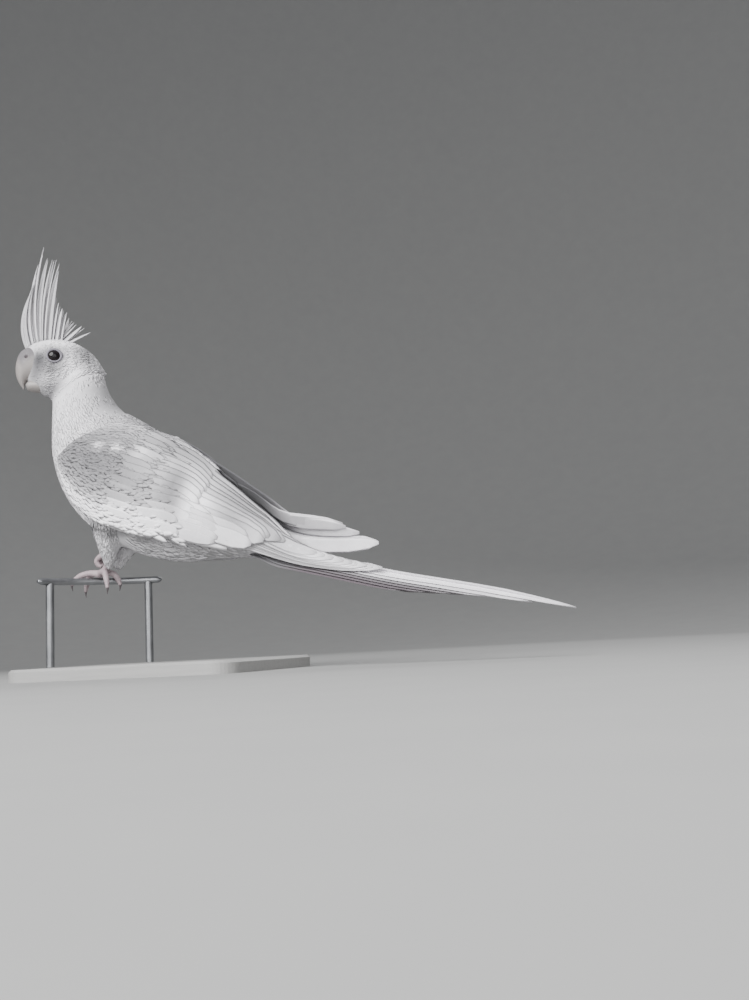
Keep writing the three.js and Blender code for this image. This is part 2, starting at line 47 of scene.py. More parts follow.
def curveThrough(values, t):
    # centripetal Catmull-Rom: the points are reached at even steps of t from 0 to 1, and each
    # piece is the cubic that leaves and meets them with the tangents of square-root spacing
    points = np.asarray(values, float)
    if points.ndim == 1:
        points = points[:, None]
    last = len(points) - 1
    place = np.clip(np.asarray(t, float), 0, 1) * last
    i = np.minimum(place.astype(int), last - 1)
    w = (place - i)[..., None]
    ends = np.vstack([2 * points[0] - points[1], points, 2 * points[-1] - points[-2]])
    a, b, c, d = ends[i], ends[i + 1], ends[i + 2], ends[i + 3]
    middle = np.linalg.norm(c - b, axis=-1, keepdims=True) ** 0.5
    middle = np.where(middle < 1e-4, 1, middle)
    before = np.linalg.norm(b - a, axis=-1, keepdims=True) ** 0.5
    before = np.where(before < 1e-4, middle, before)
    after = np.linalg.norm(d - c, axis=-1, keepdims=True) ** 0.5
    after = np.where(after < 1e-4, middle, after)
    m1 = ((b - a) / before - (c - a) / (before + middle) + (c - b) / middle) * middle
    m2 = ((c - b) / middle - (d - b) / (middle + after) + (d - c) / after) * middle
    return b + m1 * w + (3 * (c - b) - 2 * m1 - m2) * w**2 + (2 * (b - c) + m1 + m2) * w**3


def unit(v):
    # v divided by its length
    return v / np.maximum(np.linalg.norm(v, axis=-1, keepdims=True), 1e-12)


def smoothStep(low, high, x):
    # t * t * (3 - 2 t), with t running from 0 at low to 1 at high
    t = np.clip((x - low) / (high - low), 0, 1)
    return t * t * (3 - 2 * t)


def mixed(a, b, t):
    # a at t = 0 and b at t = 1, straight between them
    return a + (b - a) * t


def ringGrid(rings, around, low=0.0, high=1.0):
    # t from low to high down the rings and an angle from 0 to one turn round each of them
    return np.meshgrid(np.linspace(low, high, rings), np.linspace(0, 2 * np.pi, around, endpoint=False),
                       indexing="ij")


def makePiece(name, points, quads, triangles=None, marks=None, uv=None):
    # points in mm from the grip; marks are values kept at each point; uv is a place at each point
    mesh = bpy.data.meshes.new(name)
    points = (np.asarray(points, float).reshape(-1, 3) + grip) * metre
    quads = np.asarray(quads, np.int32).reshape(-1, 4)
    triangles = np.zeros((0, 3)) if triangles is None else triangles
    triangles = np.asarray(triangles, np.int32).reshape(-1, 3)
    mesh.vertices.add(len(points))
    mesh.vertices.foreach_set("co", points.ravel())
    corners = np.concatenate([quads.ravel(), triangles.ravel()])
    starts = np.concatenate([4 * np.arange(len(quads)), 4 * len(quads) + 3 * np.arange(len(triangles))])
    mesh.loops.add(len(corners))
    mesh.loops.foreach_set("vertex_index", corners.astype(np.int32))
    mesh.polygons.add(len(starts))
    mesh.polygons.foreach_set("loop_start", starts.astype(np.int32))
    mesh.update(calc_edges=True)
    mesh.polygons.foreach_set("use_smooth", np.ones(len(starts), bool))
    for key, values in (marks or {}).items():
        layer = mesh.attributes.new(key, "FLOAT", "POINT")
        layer.data.foreach_set("value", np.asarray(values, np.float32).ravel())
    if uv is not None:
        layer = mesh.uv_layers.new(name="OFBake")
        layer.data.foreach_set("uv", np.asarray(uv, np.float32).reshape(-1, 2)[corners].ravel())
    piece = bpy.data.objects.new(name, mesh)
    bpy.context.scene.collection.objects.link(piece)
    return piece


def finishPiece(piece, material, slot, *nodes):
    # one material, and slot is not used; the piece stands in for the solids named
    piece.data.materials.clear()
    piece.data.materials.append(material)
    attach(piece, "root")
    if nodes:
        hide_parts(*nodes)
    return piece


def tubeFaces(rings, around):
    # quads between neighbouring rings of points, closed round each ring
    r, k = np.meshgrid(np.arange(rings - 1), np.arange(around), indexing="ij")
    a = r * around + k
    b = r * around + (k + 1) % around
    return np.stack([a, b, b + around, a + around], -1).reshape(-1, 4)


def closedTube(grid):
    # a grid of rings (rings, around, 3) closed at both ends by a point in the middle of each end ring
    rings, around = grid.shape[:2]
    first, last = rings * around, rings * around + 1
    points = np.concatenate([grid.reshape(-1, 3), grid[0].mean(0)[None], grid[-1].mean(0)[None]])
    k = np.arange(around)
    start = np.stack([np.full(around, first), (k + 1) % around, k], -1)
    end = np.stack([np.full(around, last), k, (k + 1) % around], -1)
    end[:, 1:] += (rings - 1) * around
    return points, tubeFaces(rings, around), np.concatenate([start, end])


def facingOut(points, quads, triangles):
    # turns all faces round when the signed volume, the sum of a . (b x c) / 6, is below zero
    a, b, c, d = (points[quads[:, i]] for i in range(4))
    volume = (a * np.cross(b, c)).sum() + (a * np.cross(c, d)).sum()
    e, f, g = (points[triangles[:, i]] for i in range(3))
    volume += (e * np.cross(f, g)).sum()
    return (quads[:, ::-1], triangles[:, ::-1]) if volume < 0 else (quads, triangles)


def tubePiece(name, grid, marks=None):
    # a closed tube; each end point's mark is the mean over its ring
    points, quads, triangles = closedTube(grid)
    quads, triangles = facingOut(points, quads, triangles)
    if marks is not None:
        marks = {k: np.concatenate([v.ravel(), [v[0].mean(), v[-1].mean()]]) for k, v in marks.items()}
    return makePiece(name, points, quads, triangles, marks)


def joinPieces(name, pieces):
    # one object from several, keeping their marks
    with bpy.context.temp_override(active_object=pieces[0], selected_editable_objects=pieces,
                                   selected_objects=pieces):
        bpy.ops.object.join()
    pieces[0].name = name
    pieces[0].data.name = name
    return pieces[0]


def limbGrid(points, radii, around, rings, ripple=0.0, ripples=0):
    # rings round a smooth path; the side directions are carried along it so that they don't twist.
    # the radius swells by ripple * |sin| along the path, as the scutes of a toe do
    t = np.linspace(0, 1, rings)
    path = curveThrough(points, t)
    radius = curveThrough(radii, t)[:, 0] * (1 + ripple * np.abs(np.sin(np.pi * ripples * t)))
    along = unit(np.gradient(path, axis=0))
    side = np.zeros_like(path)
    seed = np.array([0.1, 1, 0.2])
    side[0] = unit(seed - along[0] * (seed @ along[0]))
    for i in range(1, rings):
        side[i] = unit(side[i - 1] - along[i] * (side[i - 1] @ along[i]))
    other = np.cross(along, side)
    a = np.linspace(0, 2 * np.pi, around, endpoint=False)
    ring = np.cos(a)[None, :, None] * side[:, None] + np.sin(a)[None, :, None] * other[:, None]
    return path[:, None] + radius[:, None, None] * ring


# Shader nodes from Python expressions

class Val:
    # a value socket that adds Math nodes when it is used in an expression
    def __init__(self, maker, socket):
        self.maker, self.socket = maker, socket

    def __add__(self, other):
        return self.maker.maths("ADD", self, other)

    def __radd__(self, other):
        return self.maker.maths("ADD", other, self)

    def __sub__(self, other):
        return self.maker.maths("SUBTRACT", self, other)

    def __rsub__(self, other):
        return self.maker.maths("SUBTRACT", other, self)

    def __mul__(self, other):
        return self.maker.maths("MULTIPLY", self, other)

    def __rmul__(self, other):
        return self.maker.maths("MULTIPLY", other, self)

    def __pow__(self, other):
        return self.maker.maths("POWER", self, other)


class Finish:
    # a material under construction
    def __init__(self, name):
        self.material = bpy.data.materials.new(name)
        self.material.use_nodes = True
        self.tree = self.material.node_tree
        self.shader = next(n for n in self.tree.nodes if n.type == "BSDF_PRINCIPLED")

    def node(self, kind, settings=None, inputs=None, output=0):
        # settings are set first, then each input gets a value or a link
        made = self.tree.nodes.new(kind)
        for key, value in (settings or {}).items():
            if key == "stops":
                ramp = made.color_ramp
                while len(ramp.elements) < len(value):
                    ramp.elements.new(0.5)
                for element, (place, colour) in zip(ramp.elements, value):
                    element.position = place
                    element.color = colour
            else:
                setattr(made, key, value)
        for key, value in (inputs or {}).items():
            self.feed(made.inputs[key], value)
        return Val(self, made.outputs[output])

    def feed(self, socket, value):
        if isinstance(value, Val):
            self.tree.links.new(value.socket, socket)
        else:
            socket.default_value = value

    def maths(self, operation, a, b):
        return self.node("ShaderNodeMath", {"operation": operation}, {0: a, 1: b})

    def clamped(self, a):
        return self.node("ShaderNodeClamp", None, {"Value": a})

    def mark(self, key):
        return self.node("ShaderNodeAttribute", {"attribute_name": key}, None, "Fac")

    def place(self):
        return self.node("ShaderNodeTexCoord", None, None, "Object")

    def noise(self, scale, detail=3, roughness=0.55, stretch=None):
        place = self.place()
        if stretch:
            place = self.node("ShaderNodeMapping", None, {"Vector": place, "Scale": stretch})
        return self.node("ShaderNodeTexNoise", None,
                         {"Vector": place, "Scale": scale, "Detail": detail, "Roughness": roughness})

    def colourMix(self, share, a, b):
        # colour a at a share of 0 and b at 1
        made = self.tree.nodes.new("ShaderNodeMix")
        made.data_type = "RGBA"
        sockets = {s.identifier: s for s in made.inputs}
        self.feed(sockets["Factor_Float"], share)
        self.feed(sockets["A_Color"], a)
        self.feed(sockets["B_Color"], b)
        return Val(self, next(s for s in made.outputs if s.identifier == "Result_Color"))

    def bump(self, height, strength, distance):
        return self.node("ShaderNodeBump", None, {"Height": height, "Strength": strength, "Distance": distance})

    def set(self, **values):
        for key, value in values.items():
            self.feed(self.shader.inputs[key.replace("_", " ")], value)


def colour(r, g, b):
    return (r, g, b, 1.0)


# Plumage: linear red, green and blue of its white, its darkest grey and the tail's mauve
plumage = {
    "white": colour(0.86, 0.845, 0.875),
    "dark": colour(0.010, 0.010, 0.013),
    "mauve": colour(0.088, 0.070, 0.082),
    "depth": 0.045,                        # how much of the white is left at a tone of one
    "mottle": 0.07,
    "roughness": 0.9,
    "sheen": 0.08,
}


def plumageFinish(name, barbs):
    # share of white = depth ** (tone + mottle * noise); the barbs are sin(barbs * (along - 0.09 * |across|))
    made = Finish(name)
    tone = made.mark("tone")
    fine = made.noise(900, 2) - 0.5
    broad = made.noise(120, 2) - 0.5
    share = made.clamped(tone + fine * plumage["mottle"] + broad * plumage["mottle"])
    base = made.colourMix(made.maths("POWER", plumage["depth"], share), plumage["dark"], plumage["white"])
    base = made.colourMix(made.clamped(made.mark("warm")), base, plumage["mauve"])
    height = made.noise(2600, 2)
    if barbs:
        along, across = made.mark("along"), made.mark("across")
        slant = made.node("ShaderNodeMath", {"operation": "ABSOLUTE"}, {0: across})
        line = made.node("ShaderNodeMath", {"operation": "SINE"}, {0: along * barbs - slant * (barbs * 0.09)})
        height = height * 0.5 + line * 0.5
    made.set(Base_Color=base, Roughness=plumage["roughness"], Sheen_Weight=plumage["sheen"], Sheen_Roughness=0.6,
             Specular_IOR_Level=0.15, Normal=made.bump(height, 0.25, 0.0002))
    return made.material


# Trunk, head and thighs: rings between a line above and a line below, as the solids have them

trunk = {
    "above": [[-4, 117], [4, 109], [7, 99], [15, 88], [29, 79], [44, 68],
              [60, 56], [77, 42], [91, 30], [103, 18], [110, 9]],
    "below": [[-26, 113], [-26.5, 104], [-25.5, 93], [-25, 80], [-24, 63], [-17, 44],
              [-2, 27], [22, 13], [46, 6], [70, 6], [92, 7]],
    "halfWidths": [6, 11, 14, 17.6, 20.8, 22, 22, 19.5, 15.5, 11, 6],
}
skull = {
    "xs": [-18.4, -17, -13, -7, 0, 7, 13, 18, 21.5],
    "above": [3.5, 7, 10.3, 12, 12.4, 10.8, 7.5, 3, -3],
    "below": [-8, -11, -15, -19.5, -20, -19, -16, -13, -9],
    "halfWidths": [1.2, 4.2, 8.0, 11.3, 12.2, 12, 11, 8.5, 4],
    "centre": [-18.6, -4.8, 116.5],
    "turn": 37,
}
thigh = {"top": [16, 12.0, 32], "low": [9.4, 3.6, 6.5], "radii": [11, 7.5, 3.2]}
headTurn = np.radians(skull["turn"])
headAxes = np.array([[np.cos(headTurn), np.sin(headTurn), 0],
                     [-np.sin(headTurn), np.cos(headTurn), 0],
                     [0, 0, 1]])
headCentre = np.array(skull["centre"])


def fromHead(p):
    # from the head's own axes to the bird's: turned about the upright, then moved to the head's place
    return np.asarray(p, float) @ headAxes + headCentre


def toHead(p):
    # the way back
    return (np.asarray(p, float) - headCentre) @ headAxes.T


def ringPoint(above, below, halfWidths, t, a, depth):
    # middle of the two lines + cos(a) * half their distance upwards + sin(a) * half width sideways
    top, low = curveThrough(above, t), curveThrough(below, t)
    half = curveThrough(halfWidths, t)[..., 0] - depth
    upright = (top - low) / 2
    length = np.linalg.norm(upright, axis=-1, keepdims=True)
    upright = upright * (length - np.asarray(depth)[..., None]) / length
    centre = (top + low) / 2
    flat = centre + upright * np.cos(a)[..., None]
    return np.stack([flat[..., 0], half * np.sin(a), flat[..., 1]], -1)


def trunkPoint(t, a, depth=0.0):
    # t runs from the head to the rump, and depth is how far the point lies inside
    depth = depth + 0.0 * np.asarray(t)
    return ringPoint(trunk["above"], trunk["below"], trunk["halfWidths"], t, a, depth)


def headPoint(t, a, depth=0.0):
    # t runs from the bill to the back of the head
    depth = depth + 0.0 * np.asarray(t)
    above = list(zip(skull["xs"], skull["above"]))
    below = list(zip(skull["xs"], skull["below"]))
    return fromHead(ringPoint(above, below, skull["halfWidths"], t, a, depth))


def thighEnds(side):
    # the ends of the thigh's middle line, for the left side mirrored in the plane y = 0
    return np.array(thigh["top"]) * [1, side, 1], np.array(thigh["low"]) * [1, side, 1]


def thighMiddle(side):
    top, low = thighEnds(side)
    return lambda t: top + (low - top) * np.asarray(t)[..., None]


def thighPoint(side):
    # a tapering limb from the flank to the ankle: circles round its middle line
    top, low = thighEnds(side)
    along = unit(low - top)
    across = unit(np.cross(along, [0, 1, 0]))
    other = np.cross(along, across)

    def point(t, a, depth=0.0):
        radius = curveThrough(thigh["radii"], t)[..., 0] - depth
        ring = np.cos(a)[..., None] * across + np.sin(a)[..., None] * other
        return thighMiddle(side)(t) + radius[..., None] * ring
    return point


def surfaceNormal(surface, t, a, outside):
    # cross product of the two directions of the surface, turned away from a point inside it
    step, turn = 0.004, 0.02
    dt = surface(np.clip(t + step, 0, 1), a) - surface(np.clip(t - step, 0, 1), a)
    da = surface(t, a + turn) - surface(t, a - turn)
    normal = unit(np.cross(dt, da))
    away = surface(t, a) - outside(t)
    return normal * np.where((normal * away).sum(-1, keepdims=True) < 0, -1, 1), unit(dt)


# Markings and painted shade: a tone of 0 is white and 1 the darkest grey

markings = {"body": 0.05, "head": 0.05, "headStrength": 1.5, "skin": 0.06, "coatRange": 0.035, "rootTone": 0.05}

# each patch: middle, reach along x, y, z and strength; head patches are in the head's own axes
bodyPatches = [
    ([12, 0, 96], [11, 16, 13], 0.38),       # back of the neck
    ([38, 0, 76], [26, 22, 14], 0.34),       # mantle
    ([-24, -6, 86], [8, 16, 12], 0.12),      # throat
    ([-22, -8, 52], [9, 14, 14], 0.16),      # breast, darkened on its left side as painted shade
    ([4, -24, 36], [12, 8, 9], -0.10),       # white flank
    ([40, -8, 10], [40, 22, 8], 0.14),       # belly, darker underneath as painted shade
    ([84, 0, 34], [20, 14, 10], 0.20),       # rump
    ([10, -18, 26], [7, 7, 2.4], 0.42),      # painted shade under the wing's lower edge
    ([22, -19, 21], [8, 7, 2.4], 0.46),
    ([36, -20, 16.5], [9, 7, 2.2], 0.40),
]
headPatches = [
    ([-10.5, 0, -1.5], [3.4, 20, 4.2], 0.50),    # lores
    ([-4, 0, -7.0], [7, 20, 3.2], 0.24),         # under the eye
    ([-3.2, 0, -0.4], [5.4, 20, 5.0], 0.30),     # round the eye
    ([12.5, 0, 1.5], [4.2, 20, 6.5], 0.32),      # behind the cheek, above
    ([17.0, 0, -9.0], [3.2, 20, 5.5], 0.52),     # behind the cheek, below
    ([-12.5, 0, -8.5], [3.4, 20, 4.5], 0.22),    # beside the bill
    ([-6, 0, -17], [9, 20, 4], 0.20),            # chin
    ([2, 0, 8.8], [10, 20, 2.4], -0.16),         # white brow
    ([6, 0, -8], [6.5, 20, 6], -0.14),           # white cheek
]


def bodyTone(p):
    # base tone plus the sum of strength * exp(-(distance / reach) squared) over the patches
    p = np.asarray(p, float)
    tone = np.full(p.shape[:-1], markings["body"])
    for middle, reach, strength in bodyPatches:
        tone = tone + strength * np.exp(-(((p - middle) / reach) ** 2).sum(-1))
    h = toHead(p)
    inHead = smoothStep(20, 12, np.linalg.norm((h - [0, 0, -3]) / [1.25, 1, 1.15], axis=-1))
    for middle, reach, strength in headPatches:
        tone = tone + markings["headStrength"] * inHead * strength * np.exp(-(((h - middle) / reach) ** 2).sum(-1))
    return tone + markings["head"] * inHead


# Feathers

def layVanes(path, outward, half, thick, crown, tilt=0.0, across=7, shaft=0.0):
    # feathers as thin closed vanes, all at once. path and outward are (feathers, steps, 3), half is
    # (feathers, steps). a point at w from -1 to 1 over the feather is path + w * half * sideways +
    # (crown * (1 - w * w) * half + tilt * w * half + shaft * exp(-(w / 0.16) squared)) * outward,
    # and the underside lies thick * sqrt(1 - w * w) below it
    count, steps = half.shape
    along = np.zeros_like(path)
    along[:, 1:-1] = path[:, 2:] - path[:, :-2]
    along[:, 0] = path[:, 1] - path[:, 0]
    along[:, -1] = path[:, -1] - path[:, -2]
    along = unit(along)
    sideways = unit(np.cross(outward, along))
    up = np.cross(along, sideways)
    w = np.concatenate([np.linspace(-1, 1, across), np.linspace(1, -1, across)[1:-1]])
    over = np.concatenate([np.zeros(across), np.ones(across - 2)])
    rise = crown * (1 - w * w) + tilt * w
    fading = (1 - 0.8 * np.linspace(0, 1, steps))[:, None]
    height = half[..., None] * rise + shaft * np.exp(-(w / 0.16) ** 2) * (1 - over) * fading
    height = height - over * thick * np.sqrt(np.clip(1 - w * w, 0, 1))
    points = path[:, :, None] + (w * half[..., None])[..., None] * sideways[:, :, None]
    points = points + height[..., None] * up[:, :, None]
    around = len(w)
    ring = tubeFaces(steps, around)
    j = np.arange(1, across - 2)
    capQuads = np.stack([j, j + 1, around - j - 1, around - j], -1)
    capTriangles = np.array([[0, 1, around - 1], [across - 2, across - 1, across]])
    end = (steps - 1) * around
    quads = np.concatenate([ring, capQuads[:, ::-1], capQuads + end])
    triangles = np.concatenate([capTriangles[:, ::-1], capTriangles + end])
    size = steps * around
    shift = (np.arange(count) * size)[:, None, None]
    marks = {
        "along": np.broadcast_to(np.linspace(0, 1, steps)[None, :, None], (count, steps, around)),
        "across": np.broadcast_to(w[None, None], (count, steps, around)),
    }
    return points, (quads[None] + shift).reshape(-1, 4), (triangles[None] + shift).reshape(-1, 3), marks


def vanePiece(name, path, outward, half, thick, crown, tone, warm=None, uvRoot=None, **shape):
    # tone and warm are (feathers, steps); uvRoot is each feather's own place on the unwrapped skin
    points, quads, triangles, marks = layVanes(path, outward, half, thick, crown, **shape)
    flat = points.reshape(-1, 3)
    first = points[0].reshape(-1, 3)
    size = first.shape[0]
    q, t = quads[: len(quads) // len(half)], triangles[: len(triangles) // len(half)]
    turnedQ, turnedT = facingOut(first - first.mean(0), q, t)
    if turnedQ is not q:
        quads, triangles = quads[:, ::-1], triangles[:, ::-1]
    around = points.shape[2]
    spread = lambda v: np.broadcast_to(v[..., None], v.shape + (around,))
    marks["tone"] = spread(tone)
    marks["warm"] = spread(np.zeros_like(tone) if warm is None else warm)
    uv = None
    if uvRoot is not None:
        patch = np.stack([marks["along"] - 0.5, marks["across"] * 0.5], -1) * 0.003
        uv = np.clip(uvRoot[:, None, None] + patch, 0, 1)
    return makePiece(name, flat, quads, triangles, marks, uv)


def scatterRows(surface, outside, spacing, start, end, seed, arc=(0.0, 2 * np.pi)):
    # roots in staggered rows round a surface; spacing is a function of t giving the distance between roots
    draw = np.random.default_rng(seed)
    fine = np.linspace(start, end, 400)
    middle = outside(fine)
    run = np.concatenate([[0], np.cumsum(np.linalg.norm(np.diff(middle, axis=0), axis=-1))])
    rows, reach, number = [], 0.0, 0
    a = np.linspace(arc[0], arc[1], 181)
    while reach < run[-1]:
        t = np.interp(reach, run, fine)
        gap = spacing(t)
        ring = surface(np.full(181, t), a)
        length = np.concatenate([[0], np.cumsum(np.linalg.norm(np.diff(ring, axis=0), axis=-1))])
        count = max(3, int(length[-1] / gap))
        place = (np.arange(count) + 0.5 * (number % 2) + draw.uniform(-0.42, 0.42, count)) / count * length[-1]
        angles = np.interp(np.mod(place, length[-1]), length, a)
        ts = t + draw.uniform(-0.45, 0.45, count) * gap * 0.8 * (end - start) / run[-1]
        rows.append(np.stack([np.clip(ts, start, end), angles], -1))
        reach += gap * 0.8
        number += 1
    rows = np.concatenate(rows)
    return rows[:, 0], rows[:, 1]


# each tuft's own turn, length, rise and width, drawn between two limits
tuft = {"turns": (-0.3, 0.3), "lengths": (0.82, 1.18), "rises": (0.6, 1.3), "widths": (0.85, 1.15), "ahead": 0.02,
        "crown": 0.07, "thick": 0.05}


def tufts(name, surface, outside, t, a, length, width, seed, unwrap, toneOf, lift=0.08, sink=0.28, depth=1.2,
          steps=4, flow=None, limit=5400, onSkin=None, mostBend=0.05):
    # small body feathers: a root on the surface, then a path along the lie that follows the surface's bend.
    # height over the skin = -sink + lift * length * s * (1.6 - s) and the bend takes off bend * (length * s)**2 / 2
    draw = np.random.default_rng(seed)
    root = surface(t, a, depth)
    normal, lie = surfaceNormal(surface, t, a, outside)
    if onSkin is not None:
        root, normal = onSkin(root)
        lie = unit(lie - normal * (lie * normal).sum(-1, keepdims=True))
    ahead = np.clip(t + tuft["ahead"], 0, 1)
    nextNormal, _ = surfaceNormal(surface, ahead, a, outside)
    thisNormal, _ = surfaceNormal(surface, t, a, outside)
    distance = np.linalg.norm(surface(ahead, a) - surface(t, a), axis=-1) + 1e-6
    bend = np.clip(((nextNormal - thisNormal) * lie).sum(-1) / distance, -0.01, mostBend)
    side = np.cross(normal, lie)
    if flow is not None:
        lie = unit(lie + flow(root))
    lie = unit(lie + side * draw.uniform(*tuft["turns"], len(t))[:, None])
    lie = unit(lie - normal * (lie * normal).sum(-1, keepdims=True))
    size = length * draw.uniform(*tuft["lengths"], len(t))
    s = np.linspace(0, 1, steps) ** 0.9
    run = size[:, None] * s
    raised = lift * draw.uniform(*tuft["rises"], len(t))[:, None] * size[:, None] * s * (1.6 - s)
    height = -sink + raised - bend[:, None] * run**2 / 2
    path = root[:, None] + lie[:, None] * run[..., None] + normal[:, None] * height[..., None]
    outward = unit(normal[:, None] + lie[:, None] * (bend[:, None] * run)[..., None])
    share = np.interp(s, [0, 0.3, 0.65, 0.88, 1], [0.4, 0.9, 1, 0.62, 0.10])
    half = 0.5 * width[:, None] * share * draw.uniform(*tuft["widths"], len(t))[:, None]
    own = draw.uniform(-markings["coatRange"], markings["coatRange"], len(t))[:, None]
    tone = toneOf(path) + own + markings["rootTone"] * (1 - s)
    uv = unwrap(t, a)
    pieces = []
    parts = int(np.ceil(len(t) / limit))
    for part in range(parts):
        pick = slice(part * len(t) // parts, (part + 1) * len(t) // parts)
        label = name if parts == 1 else f"{name}_{part + 1}"
        pieces.append(vanePiece(label, path[pick], outward[pick], half[pick], tuft["thick"], tuft["crown"],
                                tone[pick], uvRoot=uv[pick], across=3))
    print("tufts", name, len(t), "in", parts, "pieces")
    return pieces


def trunkMiddle(t):
    # halfway between the line above and the line below
    p = (curveThrough(trunk["above"], t) + curveThrough(trunk["below"], t)) / 2
    return np.stack([p[..., 0], 0 * p[..., 0], p[..., 1]], -1)


def headMiddle(t):
    x = curveThrough(skull["xs"], t)[..., 0]
    z = (curveThrough(skull["above"], t)[..., 0] + curveThrough(skull["below"], t)[..., 0]) / 2
    return fromHead(np.stack([x, 0 * x, z], -1))


# the skin's unwrap: the trunk on the left of the sheet, the head and the two thighs on the right.
# along the sheet is a turn round the body, up it is the way along the body
def trunkUnwrap(t, a):
    return np.stack([0.02 + 0.56 * np.mod(a, 2 * np.pi) / (2 * np.pi), 0.02 + 0.96 * t], -1)


def headUnwrap(t, a):
    return np.stack([0.62 + 0.36 * np.mod(a, 2 * np.pi) / (2 * np.pi), 0.5 + 0.48 * t], -1)


def thighUnwrap(side):
    start = 0.62 if side < 0 else 0.81
    return lambda t, a: np.stack([start + 0.17 * np.mod(a, 2 * np.pi) / (2 * np.pi), 0.02 + 0.44 * t], -1)


# Skin: trunk, head and thighs as one surface, under the coat

skinLook = {"bodyDepth": 1.1, "headDepth": 0.6, "thighDepth": 1.0, "voxel": 0.8, "smoothing": 26}


def gridOf(surface, rings, around, depth):
    # the whole surface, depth inside its outer form
    t, a = ringGrid(rings, around)
    return surface(t, a, depth)


def bakeModifiers(piece):
    # the mesh that the piece's modifiers make, put in place of its own
    made = bpy.data.meshes.new_from_object(piece.evaluated_get(bpy.context.evaluated_depsgraph_get()))
    piece.modifiers.clear()
    piece.data = made
    return made


def pointsOf(mesh):
    # the mesh's points in mm from the grip
    co = np.empty(3 * len(mesh.vertices), np.float32)
    mesh.vertices.foreach_get("co", co)
    return co.reshape(-1, 3) / metre - grip


skinFinish = plumageFinish("down", 0)
skinParts = [
    tubePiece("skin", gridOf(trunkPoint, 90, 72, skinLook["bodyDepth"])),
    tubePiece("skinHead", gridOf(headPoint, 60, 72, skinLook["headDepth"])),
    tubePiece("skinThighLeft", gridOf(thighPoint(-1), 20, 40, skinLook["thighDepth"])),
    tubePiece("skinThighRight", gridOf(thighPoint(1), 20, 40, skinLook["thighDepth"])),
]
skin = joinPieces("skin", skinParts)
weld = skin.modifiers.new("weld", "REMESH")
weld.mode = "VOXEL"
weld.voxel_size = skinLook["voxel"] * metre
soften = skin.modifiers.new("soften", "SMOOTH")
soften.factor = 0.5
soften.iterations = skinLook["smoothing"]
skinMesh = bakeModifiers(skin)
skinMesh.polygons.foreach_set("use_smooth", np.ones(len(skinMesh.polygons), bool))
skinTone = bodyTone(pointsOf(skinMesh)) + markings["skin"]
for key, values in (("tone", skinTone), ("warm", 0 * skinTone)):
    layer = skinMesh.attributes.new(key, "FLOAT", "POINT")
    layer.data.foreach_set("value", values.astype(np.float32))
finishPiece(skin, skinFinish, "feather_white", "head", "neck", "torso", "leg_left", "leg_right")
print("skin:", len(skinMesh.vertices), "points")
skinPoints = pointsOf(skinMesh)
skinNormals = np.empty(3 * len(skinMesh.vertices), np.float32)
skinMesh.vertex_normals.foreach_get("vector", skinNormals)
skinNormals = skinNormals.reshape(-1, 3)
skinTree = KDTree(len(skinPoints))
for number, point in enumerate(skinPoints.tolist()):
    skinTree.insert(point, number)
skinTree.balance()


def toSkin(points):
    # moves each point along the nearest skin point's normal until it is level with the skin there
    near = np.array([skinTree.find(point)[1] for point in points.tolist()])
    normal = skinNormals[near]
    return points + normal * ((skinPoints[near] - points) * normal).sum(-1, keepdims=True), normal


def underSkin(points):
    # how far below the skin a point lies
    near = np.array([skinTree.find(point)[1] for point in points.tolist()])
    return ((skinPoints[near] - points) * skinNormals[near]).sum(-1)


# Coat: small body feathers in overlapping rows

coatFinish = plumageFinish("coat", 0)
coat = {
    "headLengths": [1.4, 1.7, 2.1, 2.5, 2.9, 3.2, 3.6, 4.2, 4.6],
    "headSpacing": [0.58, 0.6, 0.63, 0.67, 0.72, 0.76, 0.8, 0.84, 0.86],
    "trunkLengths": [3.4, 3.7, 4.2, 4.8, 5.2, 5.6, 5.8, 6.0, 6.0, 5.8, 5.6],
    "trunkSpacing": [0.72, 0.78, 0.85, 0.92, 1.0, 1.06, 1.1, 1.12, 1.1, 1.05, 1.0],
    "thighLengths": [4.6, 3.8, 2.4],
    "thighSpacing": [0.9, 0.78, 0.6],
    "tailLengths": [10, 11, 11],
    "tailSpacing": [1.4, 1.2, 1.0],
    "tailFlow": [0, 0, -0.12],
    "widthShare": 0.36,
    "eyePlace": -2.7,                      # no tufts within eyeReach of this, on the outer eyeSide of the head
    "eyeReach": 3.9,
    "eyeSide": 7,
    "openDepth": 2.5,                      # below neckHeight only what lies this close under the skin is kept
    "neckHeight": 84,
}


def dress(name, surface, outside, lengths, spacings, span, unwrap, seed, keep, buried=2.5, agree=0.7, **more):
    # rows of tufts where the surface lies less than buried under the skin and faces the way the skin does
    spacing = lambda t: float(curveThrough(spacings, np.array([t]))[0, 0])
    t, a = scatterRows(surface, outside, spacing, span[0], span[1], seed)
    place = surface(t, a, more.get("depth", 1.2))
    own, _ = surfaceNormal(surface, t, a, outside)
    level = (own * toSkin(place)[1]).sum(-1)
    kept = keep(place) & (underSkin(place) < buried) & (level > agree)
    t, a = t[kept], a[kept]
    length = curveThrough(lengths, t)[:, 0]
    pieces = tufts(name, surface, outside, t, a, length, length * coat["widthShare"], seed + 1, unwrap, bodyTone,
                   onSkin=toSkin, **more)
    for piece in pieces:
        finishPiece(piece, coatFinish, "feather_white")


def bareHead(p):
    # true away from the eyes' openings
    h = toHead(p)
    reach = np.hypot(h[:, 0] - coat["eyePlace"], h[:, 2])
    return ~((reach < coat["eyeReach"]) & (np.abs(h[:, 1]) > coat["eyeSide"]))


def anywhere(p):
    return np.ones(len(p), bool)


def openBody(p):
    # the neck in full, and below it only what lies close under the skin, which leaves out the tops of the legs
    return (underSkin(p) < coat["openDepth"]) | (p[:, 2] > coat["neckHeight"])


